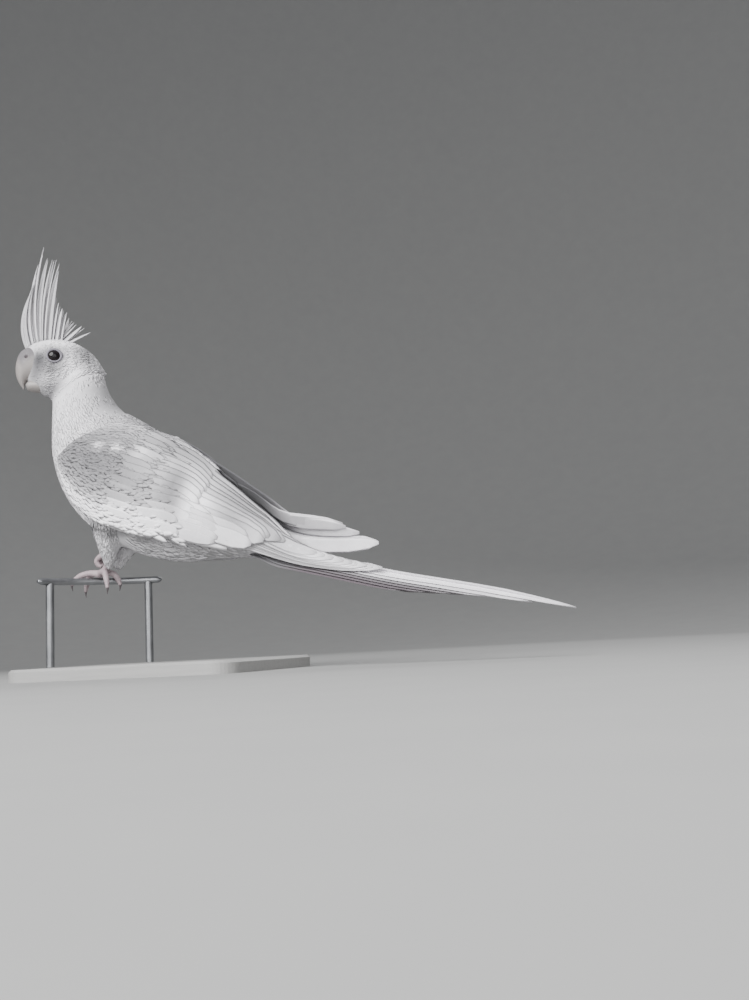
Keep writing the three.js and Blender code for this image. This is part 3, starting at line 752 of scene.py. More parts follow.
dress("coat_head", headPoint, headMiddle, coat["headLengths"], coat["headSpacing"], (0.0, 0.995), headUnwrap, 11,
      bareHead, depth=skinLook["headDepth"], sink=0.15, lift=0.075, limit=6900, buried=5.5, agree=0.1)
dress("coat_body", trunkPoint, trunkMiddle, coat["trunkLengths"], coat["trunkSpacing"], (0.035, 0.995),
      trunkUnwrap, 21, openBody, depth=skinLook["bodyDepth"], steps=5, buried=7, agree=0.45)
for side, label in sides:
    dress(f"coat_thigh_{label}", thighPoint(side), thighMiddle(side), coat["thighLengths"], coat["thighSpacing"],
          (0.05, 0.97), thighUnwrap(side), 31 + side, anywhere, depth=skinLook["thighDepth"], lift=0.07, sink=0.2)
dress("coat_tail_coverts", trunkPoint, trunkMiddle, coat["tailLengths"], coat["tailSpacing"], (0.84, 0.995),
      trunkUnwrap, 27, anywhere, depth=skinLook["bodyDepth"], steps=7, lift=0.04, mostBend=0.004,
      flow=lambda p: np.array(coat["tailFlow"]))


# Wings

wingShape = {
    "lower": [[-13, -15, 59], [-3, -20, 44], [11, -22, 31], [33, -23.5, 21.5], [57, -22, 15.5], [76, -18.5, 9.6],
              [97, -14.5, 4.2], [121, -11.5, -0.4], [140, -9.5, -2.8], [158, -8, -4.2]],
    "upper": [[-9, -13, 70], [6, -14, 77], [26, -13, 75.5], [44.5, -10, 68], [59, -4.5, 58.3], [75, -3.5, 43.2],
              [92.5, -3.2, 26.4], [111, -3.5, 10.4], [133.5, -4.5, 2.7], [156.5, -6, -2.2]],
    "bulges": [2, 6, 9.5, 10.5, 9.5, 7, 4.5, 2, 0.9, 0.3],
    "thicknesses": [3, 6, 7.5, 7.5, 6, 4.5, 3, 2, 1.4, 0.7],
    "rightRaise": [0, 0, 0, 0, 0, 1.6, 3.0, 3.6, 3.8, 3],
    "rightLift": 3,
    "rightScale": 0.94,
    "shoulder": [0, 14, 66],
    "padEnd": 0.6,
    "tone": 0.07,
    "contrast": 1.65,
    "farTone": 0.86,                       # tone of the right wing's dark strip, grey tertials deepened by painted shade of the valley between the wings, and its share over the rest
    "farShare": 0.95,
    "toneRange": 0.05,
    "slots": {-1: "feather_white", 1: "feather_grey"},
}


def wingPoint(u, v, n=0.0, side=-1):
    # a straight line from the lower to the upper edge, bowed outwards by 4 v (1 - v) * bulge, then n outwards
    u, v = np.broadcast_arrays(np.asarray(u, float), np.asarray(v, float))
    upper = np.array(wingShape["upper"], float)
    if side > 0:
        upper[:, 2] += wingShape["rightRaise"]
    low, high = curveThrough(wingShape["lower"], u), curveThrough(upper, u)
    chord = high - low
    along = curveThrough(wingShape["lower"], np.minimum(u + 0.01, 1))
    along = along - curveThrough(wingShape["lower"], np.maximum(u - 0.01, 0))
    outward = unit(np.cross(along, chord))
    outward = outward * np.where(outward[..., 1:2] > 0, -1, 1)
    bulge = curveThrough(wingShape["bulges"], u)[..., 0]
    span = np.linalg.norm(chord, axis=-1)
    tilt = unit(outward * span[..., None] - chord * (4 * (1 - 2 * v) * bulge / span)[..., None])
    p = low + chord * v[..., None] + outward * (4 * v * (1 - v) * bulge)[..., None]
    p = p + tilt * np.asarray(n)[..., None]
    if side < 0:
        return p
    # the right wing is the left one's mirror image, made smaller and lifted about the shoulder
    p = p * [1, -1, 1] - wingShape["shoulder"]
    p = p * [wingShape["rightScale"], 1, wingShape["rightScale"]]
    c, s = np.cos(np.radians(wingShape["rightLift"])), np.sin(np.radians(wingShape["rightLift"]))
    turned = np.stack([c * p[..., 0] - s * p[..., 2], p[..., 1], s * p[..., 0] + c * p[..., 2]], -1)
    return turned + wingShape["shoulder"]


# patches on the folded wing: middle u, middle v, reach u, reach v and strength
wingPatches = [
    (0.20, 0.55, 0.20, 0.42, 0.30),
    (0.00, 0.60, 0.10, 0.50, 0.10),
    (0.20, 0.68, 0.022, 0.045, -0.26),
    (0.26, 0.70, 0.020, 0.040, -0.28),
    (0.33, 0.70, 0.024, 0.045, -0.22),
    (0.12, 0.05, 0.18, 0.10, -0.20),
    (0.32, 0.08, 0.12, 0.10, -0.16),
    (0.445, 0.45, 0.025, 0.22, 0.20),
    (0.42, 0.30, 0.05, 0.10, 0.10),
    (0.50, 0.38, 0.045, 0.16, -0.10),
    (0.61, 0.72, 0.07, 0.25, 0.16),
    (0.60, 0.36, 0.05, 0.10, 0.16),
    (0.44, 0.92, 0.10, 0.12, 0.14),
    (0.72, 0.60, 0.10, 0.35, 0.08),
]


def wingTone(u, v, side):
    # base tone plus contrast * strength * exp(-(distance / reach) squared) over the patches
    tone = wingShape["tone"] + 0 * u * v
    for cu, cv, ru, rv, strength in wingPatches:
        tone = tone + wingShape["contrast"] * strength * np.exp(-((u - cu) / ru) ** 2 - ((v - cv) / rv) ** 2)
    if side > 0:
        # the right wing's dark strip: grey tertials, deepened by painted shade of the valley between the wings
        dark = smoothStep(0.36, 0.42, u) * smoothStep(0.82, 0.68, u) * smoothStep(0.2, 0.5, v)
        tone = mixed(tone, wingShape["farTone"], dark * wingShape["farShare"])
    return tone


# feather tiers from the lowest up: places are (along, across) the folded wing, and half widths and
# heights over the wing are in mm, from the tier's lowest feather to its highest or from root to tip
wingTiers = [
    {"name": "primaries", "count": 9, "half": (3.2, 4.4), "sink": 1.4, "rise": -0.7, "layer": -0.28,
     "root": ((0.48, 0.10), (0.46, 0.5)), "tip": ((1.0, 0.35), (0.84, 0.7)), "rightTip": ((1.0, 0.0), (0.94, 1.6))},
    {"name": "secondaries", "count": 10, "half": (4.2, 5.6), "sink": 1.0, "rise": 0.1, "layer": 0,
     "root": ((0.44, 0.16), (0.38, 0.92)), "tip": ((0.66, 0.20), (0.80, 0.90))},
    {"name": "primary_coverts", "count": 6, "half": (3.2, 3.8), "sink": 0.8, "rise": 0.3, "layer": 0,
     "root": ((0.34, 0.04), (0.36, 0.3)), "tip": ((0.60, 0.08), (0.58, 0.34))},
    {"name": "greater_coverts", "count": 13, "half": (3.6, 4.4), "sink": 0.7, "rise": 0.5, "layer": 0,
     "root": ((0.28, 0.08), (0.29, 0.97)), "tip": ((0.49, 0.08), (0.57, 0.95))},
    {"name": "median_coverts", "count": 14, "half": (3.2, 3.8), "sink": 0.6, "rise": 0.6, "layer": 0,
     "root": ((0.20, 0.05), (0.22, 0.97)), "tip": ((0.37, 0.04), (0.42, 0.94))},
]
wingFinish = plumageFinish("wing_feathers", 420)


def wingFeathers(side, tier, seed, steps=16):
    # each feather runs straight from its root to its tip over the wing's surface, sunk at the root
    draw = np.random.default_rng(seed)
    count = tier["count"]
    f = np.linspace(0, 1, count)
    fanned = side > 0 and "rightTip" in tier
    tips = tier["rightTip"] if fanned else tier["tip"]
    # the fanned primaries part into a lower and an upper group
    share = smoothStep(0.36, 0.6, f) * 0.8 + 0.2 * f if fanned else f
    root = mixed(np.array(tier["root"][0]), np.array(tier["root"][1]), f[:, None])
    tip = mixed(np.array(tips[0]), np.array(tips[1]), share[:, None])
    uneven = [0.008, 0.012] if tier["name"] == "primaries" else [0.03, 0.02]
    tip = tip + draw.uniform(-1, 0.2, (count, 2)) * uneven
    s = np.linspace(0, 1, steps)
    place = mixed(root[:, None], tip[:, None], s[None, :, None])
    n = mixed(-tier["sink"], tier["rise"], smoothStep(0, 1, np.minimum(1, 1.6 * s)))[None] + np.zeros((count, 1))
    n = n + tier["layer"] * (count - 1 - np.arange(count))[:, None] + draw.uniform(-0.1, 0.1, (count, 1))
    path = wingPoint(place[..., 0], place[..., 1], n, side)
    outward = unit(wingPoint(place[..., 0], place[..., 1], n + 1, side) - path)
    share = np.interp(s, [0, 0.2, 0.5, 0.8, 0.93, 1], [0.45, 0.8, 1, 1, 0.74, 0.2])
    half = mixed(tier["half"][0], tier["half"][1], f)[:, None] * share
    half = half * draw.uniform(0.93, 1.07, (count, 1))
    own = draw.uniform(-wingShape["toneRange"], wingShape["toneRange"], (count, 1))
    tone = wingTone(place[..., 0], place[..., 1], side) + own
    return path, outward, half, tone


def wingPad(side):
    # the wing's body under its feathers: the outer surface and one depth * sin(pi (0.25 + 0.5 v)) inside it
    u = np.linspace(0, wingShape["padEnd"], 40)[:, None]
    thinning = 1 - 0.75 * np.maximum(0, (u - 0.4) / (wingShape["padEnd"] - 0.4))
    depth = curveThrough(wingShape["thicknesses"], u[:, 0])[:, :1] * thinning
    v = np.linspace(0, 1, 28)[None]
    outer = wingPoint(u, v, (thinning - 1) * 0.8 + 0 * v, side)
    w = v[:, -2:0:-1]
    inner = wingPoint(u, w, -0.6 - depth * np.sin(np.pi * (0.25 + 0.5 * w)), side)
    tone = wingTone(u, np.concatenate([v, w], 1), side)
    return np.concatenate([outer, inner], 1), tone


def wingInside(side):
    # a line well inside the wing's front
    return lambda t: wingPoint(t, 0.5, -25.0, side)


def sheetUnwrap(t, a):
    # the whole sheet, with a across and t up
    return np.stack([0.02 + 0.96 * a, 0.02 + 0.9 * t], -1)


# small coverts over the front of the wing; lengths and heights are given at places along it
lesser = {
    "spacing": (1.15, 0.9),                # mm between roots at the front, and what is added per unit of u
    "span": (0.005, 0.46),
    "thinning": (0.47, 0.38),
    "lengthPlaces": [0, 0.1, 0.3, 0.43],
    "lengths": [3.4, 4.6, 6.0, 7.5],
    "heightPlaces": [0, 0.15, 0.25, 0.43],
    "heights": [0.2, 0.5, 0.9, 0.7],
    "widthShare": 0.40,
}


def lesserCoverts(side, label):
    # rows of tufts on the wing's surface, thinned out over the last rows
    surface = lambda t, a, depth=0.0: wingPoint(t, a, -depth + 0 * a, side)
    spacing = lambda t: lesser["spacing"][0] + lesser["spacing"][1] * t
    t, v = scatterRows(surface, wingInside(side), spacing, *lesser["span"], 60 + side, arc=(0.0, 1.0))
    thinned = np.random.default_rng(5).uniform(0, 1, len(t)) < smoothStep(*lesser["thinning"], t)
    t, v = t[thinned], v[thinned]
    length = np.interp(t, lesser["lengthPlaces"], lesser["lengths"])
    raised = -np.interp(t, lesser["heightPlaces"], lesser["heights"])

    def toneOf(p):
        steps = p.shape[1]
        return wingTone(t[:, None] + 0.02 * np.linspace(0, 1, steps), v[:, None] + np.zeros(steps), side)

    return tufts(f"wing_{label}_lesser_coverts", surface, wingInside(side), t, v, length,
                 length * lesser["widthShare"], 63 + side, sheetUnwrap, toneOf, lift=0.05, sink=0.25,
                 depth=raised, steps=5)


for side, label in sides:
    grid, tone = wingPad(side)
    marks = {"tone": tone, "warm": 0 * tone, "along": 0 * tone, "across": 0 * tone}
    finishPiece(tubePiece(f"wing_{label}_pad", grid, marks), wingFinish, wingShape["slots"][side], f"wing_{label}")
    for number, tier in enumerate(wingTiers):
        path, outward, half, tone = wingFeathers(side, tier, 40 + 7 * number + side)
        piece = vanePiece(f"wing_{label}_{tier['name']}", path, outward, half, 0.30, 0.06, tone, across=9,
                          shaft=0.14, tilt=0.10 * -side)
        finishPiece(piece, wingFinish, wingShape["slots"][side])
    for piece in lesserCoverts(side, label):
        finishPiece(piece, coatFinish, wingShape["slots"][side])
print("wings done")


# Mantle: the feathered back between the two wings' upper edges

mantle = {"from": 0.19, "to": 0.50, "edge": 0.80, "crown": 1.0, "depth": 3.5, "spacing": 1.2,
          "lengths": [4.5, 6.0, 9.0], "widthShare": 0.38, "rightTone": 0.4}


def mantlePoint(t, a, depth=0.0):
    # a curve over five points at each step along: on the left wing, on its upper edge, over the back,
    # and the same on the right
    t, a = np.broadcast_arrays(np.asarray(t, float), np.asarray(a, float))
    u = mixed(mantle["from"], mantle["to"], t)
    rims = ((-1, mantle["edge"]), (-1, 1.0), (1, 1.0), (1, mantle["edge"]))
    edges = [wingPoint(u, v, 0.5, side) for side, v in rims]
    x = (edges[1][..., 0] + edges[2][..., 0]) / 2
    line = np.array(trunk["above"], float)[1:]
    high = np.interp(x, line[:, 0], line[:, 1])
    high = np.maximum(high, (edges[1][..., 2] + edges[2][..., 2]) / 2 + mantle["crown"])
    top = np.stack([x, 0 * x, high], -1)
    points = np.stack([2 * edges[0] - edges[1], edges[0], edges[1], top, edges[2], edges[3],
                       2 * edges[3] - edges[2]])
    place = np.clip(a, 0, 1) * 4
    i = np.minimum(place.astype(int), 3)
    w = (place - i)[..., None]
    pick = lambda k: np.take_along_axis(points, (i + k)[None, ..., None], 0)[0]
    p0, p1, p2, p3 = pick(0), pick(1), pick(2), pick(3)
    p = 0.5 * (2 * p1 + (p2 - p0) * w + (2 * p0 - 5 * p1 + 4 * p2 - p3) * w**2
               + (3 * p1 - p0 - 3 * p2 + p3) * w**3)
    inward = unit(np.stack([x, 0 * x, high - 30], -1) - p)
    return p + inward * np.asarray(depth)[..., None]


def mantleTone(p, t, a):
    # the body's tone in the middle, turning into the wings' own at both edges
    edge = smoothStep(0.25, 0.05, np.minimum(a, 1 - a))
    side = np.where(a < 0.5, wingTone(mixed(mantle["from"], mantle["to"], t), 0.9, -1), mantle["rightTone"])
    return mixed(bodyTone(p), side[:, None] + 0 * p[..., 0], edge[:, None])


def mantleInside(t):
    return mantlePoint(t, 0.5, 20.0)


# the down under it: across and back below, depth * sin(pi a) thick, and sunk at its front end
overAndBack = np.concatenate([np.linspace(0, 1, 40), np.linspace(1, 0, 40)[1:-1]])
t, a = np.meshgrid(np.linspace(0, 1, 50), overAndBack, indexing="ij")
under = np.concatenate([np.zeros(40), np.ones(38)])[None]
below = under * mantle["depth"] * np.sin(np.pi * np.clip(a, 0.04, 0.96))
below = below + 0.3 + 2.2 * smoothStep(0.14, 0, t)
grid = mantlePoint(t, a, below)
mantlePad = tubePiece("mantle_down", grid, {"tone": bodyTone(grid), "warm": 0 * t})
finishPiece(mantlePad, skinFinish, "feather_white")
t, a = scatterRows(mantlePoint, mantleInside, lambda t: mantle["spacing"], 0.0, 0.98, 91, arc=(0.02, 0.98))
length = np.interp(t, [0, 0.3, 1], mantle["lengths"])
for piece in tufts("mantle_feathers", mantlePoint, mantleInside, t, a, length, length * mantle["widthShare"], 93,
                   sheetUnwrap, lambda p: mantleTone(p, t, a), lift=0.07, sink=0.4, depth=0.2, steps=6,
                   limit=4000):
    finishPiece(piece, coatFinish, "feather_white")
print("mantle done")


# Tail

tail = {
    "ridge": [[86, 11.5], [128, 1.6], [163, -7.4], [186, -12.6], [208, -17.8], [240, -26.6]],
    "tips": [240, 221, 204, 191, 179, 168],
    "rootX": 91,
    "halfWidth": 4.7,
    "tone": [0.03, 0.08, 0.30, 0.42, 0.50, 0.62],
    "mauve": [0.0, 0.10, 0.45, 0.70, 0.80, 0.90],
    "tipTone": 0.08,
    "tuck": 3.0,
}


def ridgeHeight(x):
    # height of the tail's upper line at x
    line = curveThrough(tail["ridge"], np.linspace(0, 1, 200))
    return np.interp(x, line[:, 0], line[:, 1])


def tailFeathers(steps=26):
    # pairs under one another, each shorter and further out than the last; all follow the ridge,
    # stack mm below it and 0.35 mm lower for each mm sideways
    s = np.linspace(0, 1, steps)
    paths, outs, halves, tones, mauves = [], [], [], [], []
    for pair, tip in enumerate(tail["tips"]):
        for side in (-1, 1):
            x = mixed(tail["rootX"], tip, s)
            pointed = pair == 0
            y = side * (1.9 - (1.1 * s if pointed else 0) + pair * mixed(0.8, 1.05, s))
            stack = 0.8 * (pair + (0.45 if side > 0 else 0)) + 0.6
            rooted = smoothStep(0.22, 0.0, s)
            height = ridgeHeight(x) - stack - 0.35 * np.abs(y) + tail["tuck"] * rooted
            paths.append(np.stack([x, y * (1 - 0.2 * rooted), height], -1))
            outs.append(np.broadcast_to(unit(np.array([0, 0.35 * side, 1.0])), (steps, 3)))
            shape = [0.7, 1, 0.9, 0.5, 0.05] if pointed else [0.5, 0.95, 1, 0.8, 0.22]
            share = np.interp(s, [0, 0.45, 0.8, 0.94, 1], shape)
            halves.append(share * tail["halfWidth"])
            pale = smoothStep(0.82, 0.98, s) * (1.0 if pair < 3 else 0.4)
            tones.append(mixed(tail["tone"][pair], tail["tipTone"], pale))
            mauve = tail["mauve"][pair]
            mauves.append(mixed(mauve, mauve * 0.25, pale) * smoothStep(0.1, 0.4, s))
    return [np.array(v) for v in (paths, outs, halves, tones, mauves)]


path, outward, half, tone, mauve = tailFeathers()
tailPiece = vanePiece("tail_feathers", path, outward, half, 0.35, 0.05, tone, warm=mauve, across=9, shaft=0.3)
finishPiece(tailPiece, wingFinish, "feather_grey", "tail")
print("tail done")


# Crest: groups from the front to the back, each with roots along the skull and tips along a line

crest = [
    {"count": 17, "root": (-16.5, -4.5), "bow": (-7.5, -1.5), "half": 1.05,
     "tips": [[-13.5, 40], [-12.2, 47], [-8.1, 62], [-4.5, 56.5], [-0.5, 57.4], [-1.5, 44]]},
    {"count": 9, "root": (-5.5, 1.5), "bow": (-1.5, -0.5), "half": 1.3,
     "tips": [[-2, 36], [1.1, 30], [4.6, 25.5]]},
    {"count": 8, "root": (-2, 4.5), "bow": (-0.5, 0), "half": 0.9,
     "tips": [[6, 23], [10.5, 20.5], [15.8, 16.8]]},
]


def crestFeathers(group, seed, steps=18):
    # each feather is the curve (1 - s)^2 root + 2 s (1 - s) bend + s^2 tip
    draw = np.random.default_rng(seed)
    f = np.linspace(0, 1, group["count"])
    tips = curveThrough(group["tips"], np.clip(f + draw.uniform(-0.035, 0.035, len(f)), 0, 1))
    y = 2.1 * np.sin(2.4 * np.arange(group["count"]) + 0.6)
    x = mixed(group["root"][0], group["root"][1], f)
    root = np.stack([x, 0.6 * y, np.interp(x, skull["xs"], skull["above"]) - 1.2], -1)
    tip = np.stack([tips[:, 0], y, tips[:, 1] * draw.uniform(0.93, 1.0, len(f))], -1)
    bend = mixed(root, tip, 0.45)
    bend[:, 0] += mixed(group["bow"][0], group["bow"][1], f) + draw.uniform(-0.6, 0.6, len(f))
    s = np.linspace(0, 1, steps)[None, :, None]
    path = (1 - s) ** 2 * root[:, None] + 2 * s * (1 - s) * bend[:, None] + s**2 * tip[:, None]
    turn = 0.6 * np.sin(3.7 * np.arange(len(f)) + 1) + 0.5
    outward = np.stack([np.sin(turn), np.cos(turn), 0 * turn], -1)
    outward = np.broadcast_to(outward[:, None], path.shape)
    half = group["half"] * np.interp(s[0, :, 0], [0, 0.25, 0.6, 0.85, 1], [0.75, 1, 0.85, 0.5, 0.08])
    half = half * draw.uniform(0.85, 1.15, (len(f), 1))
    tone = 0.16 + draw.uniform(-0.05, 0.06, (len(f), 1)) + 0.08 * s[..., 0]
    return fromHead(path), outward @ headAxes, half, tone


for number, group in enumerate(crest):
    path, outward, half, tone = crestFeathers(group, 71 + number)
    piece = vanePiece(f"crest_{number + 1}", path, outward, half, 0.16, 0.12, tone, across=7, shaft=0.16)
    finishPiece(piece, wingFinish, "feather_white", *(["crest"] if number == 0 else []))
print("crest done")


# Bill

bill = {
    "upperAbove": [[-12, 7], [-16.5, 6.5], [-19.4, 4.4], [-21.4, 0.6],
                   [-22.2, -4], [-21.7, -9], [-20.2, -12.6], [-18.3, -15.3]],
    "upperBelow": [[-9, -10], [-12, -10.5], [-14, -10.5], [-15.5, -10.5],
                   [-16.6, -11], [-17.3, -11.8], [-17.8, -13.2], [-17.9, -15]],
    "upperHalf": [7.4, 7.0, 6.2, 5.2, 4.1, 2.9, 1.6, 0.5],
    "lowerAbove": [[-9, -10.2], [-13, -10.4], [-16, -11], [-17.2, -12.4]],
    "lowerBelow": [[-8, -17], [-12.5, -16.6], [-15.8, -15.8], [-16.9, -14.4]],
    "lowerHalf": [5, 4.5, 3.3, 1.8],
    "nostril": [-16.6, 0.6],
}


def billGrid(above, below, halfWidths, rings, around):
    # one half of the bill, from inside the face to its tip
    t, a = ringGrid(rings, around)
    return ringPoint(above, below, halfWidths, t, a, np.zeros_like(t)), t, a


def upperBill():
    # the horn, with a soft swollen cere over its root and a pit for each nostril
    grid, t, a = billGrid(bill["upperAbove"], bill["upperBelow"], bill["upperHalf"], 110, 120)
    centre = grid.mean(1, keepdims=True)
    away = unit(grid - centre)
    cere = smoothStep(0.50, 0.34, t) * smoothStep(-0.2, 0.5, np.cos(a))
    nostril = np.linalg.norm(grid[..., [0, 2]] - bill["nostril"], axis=-1)
    pit = np.exp(-((nostril / 0.8) ** 2))
    rim = np.exp(-(((nostril - 1.25) / 0.45) ** 2))
    grid = grid + away * (0.35 * cere + 0.22 * rim - 1.1 * pit)[..., None]
    return grid, cere, pit


def hornFinish():
    # streaked horn, turning to the cere's colour and to a near black painted shade in each nostril's pit by the
    # marks
    made = Finish("horn")
    cere, pit = made.mark("cere"), made.mark("pit")
    streak = made.noise(160, 3, stretch=(1, 1, 0.25))
    fine = made.noise(700, 3)
    base = made.colourMix(streak, colour(0.17, 0.155, 0.15), colour(0.26, 0.24, 0.23))
    base = made.colourMix(made.clamped(cere), base, colour(0.12, 0.112, 0.12))
    # painted shade: near black in each nostril's pit
    base = made.colourMix(made.clamped(pit * 1.4), base, colour(0.05, 0.04, 0.045))
    made.set(Base_Color=base, Roughness=made.clamped(0.42 + cere * 0.3 + fine * 0.1), Coat_Weight=0.08,
             Normal=made.bump(fine * 0.6 + streak * 0.4, 0.3, 0.00015))
    return made.material


horn = hornFinish()
grid, cere, pit = upperBill()
upperPiece = tubePiece("bill_upper_horn", fromHead(grid), {"cere": cere, "pit": pit})
finishPiece(upperPiece, horn, "bill", "bill_upper")
grid, t, a = billGrid(bill["lowerAbove"], bill["lowerBelow"], bill["lowerHalf"], 50, 72)
lowerPiece = tubePiece("bill_lower_horn", fromHead(grid), {"cere": 0 * t, "pit": 0 * t})
finishPiece(lowerPiece, horn, "bill", "bill_lower")


# Eyes and lids

eye = {"radius": 4.1, "x": -2.7, "y": 9.1, "z": 0.0, "lidRadius": 3.35, "lidTube": 0.62, "lidY": 11.75}


def eyeGrid(side):
    # circles round the eye's axis: radius * sin(b) from the axis and radius * cos(b) along it
    b, a = ringGrid(48, 64, 0.02, np.pi - 0.02)
    r = eye["radius"] - 0.05
    away = r * np.sin(b)
    grid = np.stack([eye["x"] + away * np.cos(a), side * (eye["y"] + r * np.cos(b)),
                     eye["z"] + away * np.sin(a)], -1)
    return grid, away


def lidGrid(side):
    # a ring of bare skin, thicker above, with fine creases
    a, b = np.meshgrid(np.linspace(0, 2 * np.pi, 97), np.linspace(0, 2 * np.pi, 24, endpoint=False), indexing="ij")
    tube = eye["lidTube"] * (1 + 0.18 * np.sin(a) + 0.05 * np.sin(23 * a) * np.cos(b))
    radius = eye["lidRadius"] + tube * np.cos(b)
    x = radius * np.cos(a) * 1.06
    z = radius * np.sin(a) * 0.97
    return np.stack([eye["x"] + x, side * (eye["lidY"] + tube * np.sin(b) - 0.004 * x * x), eye["z"] + z], -1)


def eyeFinish():
    # near black, with a slightly lighter ring by the distance from the eye's axis
    made = Finish("eye_gloss")
    away = made.mark("away")
    stops = [(0.0, colour(0.006, 0.005, 0.006)), (0.50, colour(0.007, 0.006, 0.007)),
             (0.60, colour(0.010, 0.008, 0.008)), (0.78, colour(0.012, 0.010, 0.010)),
             (0.90, colour(0.006, 0.006, 0.007))]
    ring = made.node("ShaderNodeValToRGB", {"stops": stops}, {"Fac": away * 0.3})
    made.set(Base_Color=ring, Roughness=0.05, Specular_IOR_Level=0.2)
    return made.material


def lidFinish():
    # two greys mixed by a fine noise
    made = Finish("lid_skin")
    fine = made.noise(900, 3)
    base = made.colourMix(fine, colour(0.10, 0.093, 0.115), colour(0.20, 0.19, 0.215))
    made.set(Base_Color=base, Roughness=0.6, Normal=made.bump(fine, 0.4, 0.0001))
    return made.material


eyeGloss, lidSkin = eyeFinish(), lidFinish()
for side, label in sides:
    grid, away = eyeGrid(side)
    ball = tubePiece(f"eye_ball_{label}", fromHead(grid), {"away": away})
    finishPiece(ball, eyeGloss, "eye", f"eye_{label}")
    ring = lidGrid(side)[:-1]
    r, k = np.meshgrid(np.arange(96), np.arange(24), indexing="ij")
    nextR, nextK = (r + 1) % 96 * 24, (k + 1) % 24
    quads = np.stack([r * 24 + k, nextR + k, nextR + nextK, r * 24 + nextK], -1).reshape(-1, 4)
    points = fromHead(ring.reshape(-1, 3))
    quads = facingOut(points - points.mean(0), quads, np.zeros((0, 3), int))[0]
    lid = makePiece(f"eyelid_{label}", points, quads)
    finishPiece(lid, lidSkin, "foot_skin")
print("head done")


# Feet

foot = {
    "middle": [2, -1, 3.6],
    "ankle": [9.4, -3.6, 6.5],
    "toes": [(15, 15, 5), (-22, 14, 8), (142, 13, 8), (-155, 10, 6)],    # heading, length and drop
    "toeRadii": [1.85, 1.5, 1.45, 1.25, 0.75],
    "clawRadii": [0.85, 0.62, 0.08],
}


def toePath(heading, length, drop):
    # from the middle of the foot in a level direction, over the wire and down by drop
    way = -np.array([np.cos(np.radians(heading)), np.sin(np.radians(heading)), 0])
    reach = np.array([0, 0.35, 0.68, 0.9, 1, 0.96])
    fall = np.array([0, -0.6, 0.4, 0.55 * drop, drop, drop + 3])
    points = np.array(foot["middle"]) + way * (reach * length)[:, None]
    points[:, 2] -= fall
    return points


def footFinish(name, pale, dark):
    # two colours mixed by a broad noise
    made = Finish(name)
    fine, broad = made.noise(800, 3), made.noise(220, 2)
    base = made.colourMix(broad, pale, dark)
    made.set(Base_Color=base, Roughness=made.clamped(0.5 + fine * 0.25),
             Normal=made.bump(fine * 0.7 + broad * 0.3, 0.5, 0.0002))
    return made.material


toeSkin = footFinish("toe_skin", colour(0.36, 0.30, 0.31), colour(0.16, 0.115, 0.135))
clawHorn = footFinish("claw_horn", colour(0.07, 0.055, 0.06), colour(0.035, 0.03, 0.033))


def buildFoot(label, paths, shank, shankRadii, node):
    # toes and shank joined in one piece, the claws in another; a toe's last two points are its claw
    parts, claws = [], []
    for number, points in enumerate(paths):
        flesh = limbGrid(points[:-1], foot["toeRadii"], 20, 70, 0.07, 11)
        parts.append(tubePiece(f"toe_{label}_{number}", flesh))
        tip = np.array([points[-3] * 0.3 + points[-2] * 0.7, points[-2], points[-1]])
        claws.append(tubePiece(f"claw_{label}_{number}", limbGrid(tip, foot["clawRadii"], 14, 18)))
    parts.append(tubePiece(f"shank_{label}", limbGrid(shank, shankRadii, 24, 40, 0.03, 14)))
    flesh = joinPieces(f"foot_{label}_skin", parts)
    finishPiece(flesh, toeSkin, "foot_skin", node)
    finishPiece(joinPieces(f"foot_{label}_claws", claws), clawHorn, "foot_skin")


ankle, middle = np.array(foot["ankle"]), np.array(foot["middle"])
buildFoot("left", [toePath(*toe) for toe in foot["toes"]],
          [ankle + [0.6, -0.4, 2], mixed(middle, ankle, 0.5), middle], [1.9, 1.8, 2.0], "foot_left")
folded = [np.array([[-2, 9 + 0.6 * y, 14], [-4, 9 + 0.9 * y, 12.6], [-5, 9 + y, 11],
                    [-4, 9 + y, 9], [-2, 9 + y, 8], [1, 9 + y, 9.5]]) for y in (-3, -1, 1, 3)]
buildFoot("right", folded, [[11, 10, 16], [8, 9, 12], [-2, 9, 14]], [1.9, 1.9, 1.8], "foot_right")
print("feet done")


# Perch wire and stand

perch = {"ringRadius": 65, "gripAngle": 138.4, "halfSpan": 28, "wireRadius": 1.75}


def metalFinish():
    # worn wire: two greys mixed by a broad noise
    made = Finish("worn_wire")
    fine, broad = made.noise(1400, 4), made.noise(140, 3)
    base = made.colourMix(broad, colour(0.17, 0.175, 0.185), colour(0.30, 0.305, 0.315))
    made.set(Base_Color=base, Metallic=1.0, Roughness=made.clamped(0.26 + broad * 0.22 + fine * 0.08),
             Normal=made.bump(fine, 0.2, 0.0001))
    return made.material


def woodFinish():
    # pale grey grain, stretched along the base
    made = Finish("stand_wood")
    grain = made.noise(60, 5, 0.6, stretch=(0.6, 9, 9))
    pore = made.noise(600, 2, 0.5, stretch=(0.2, 3, 3))
    base = made.colourMix(grain, colour(0.23, 0.228, 0.224), colour(0.32, 0.318, 0.312))
    made.set(Base_Color=base, Roughness=made.clamped(0.38 + pore * 0.25),
             Normal=made.bump(grain * 0.5 + pore * 0.5, 0.25, 0.0003))
    return made.material


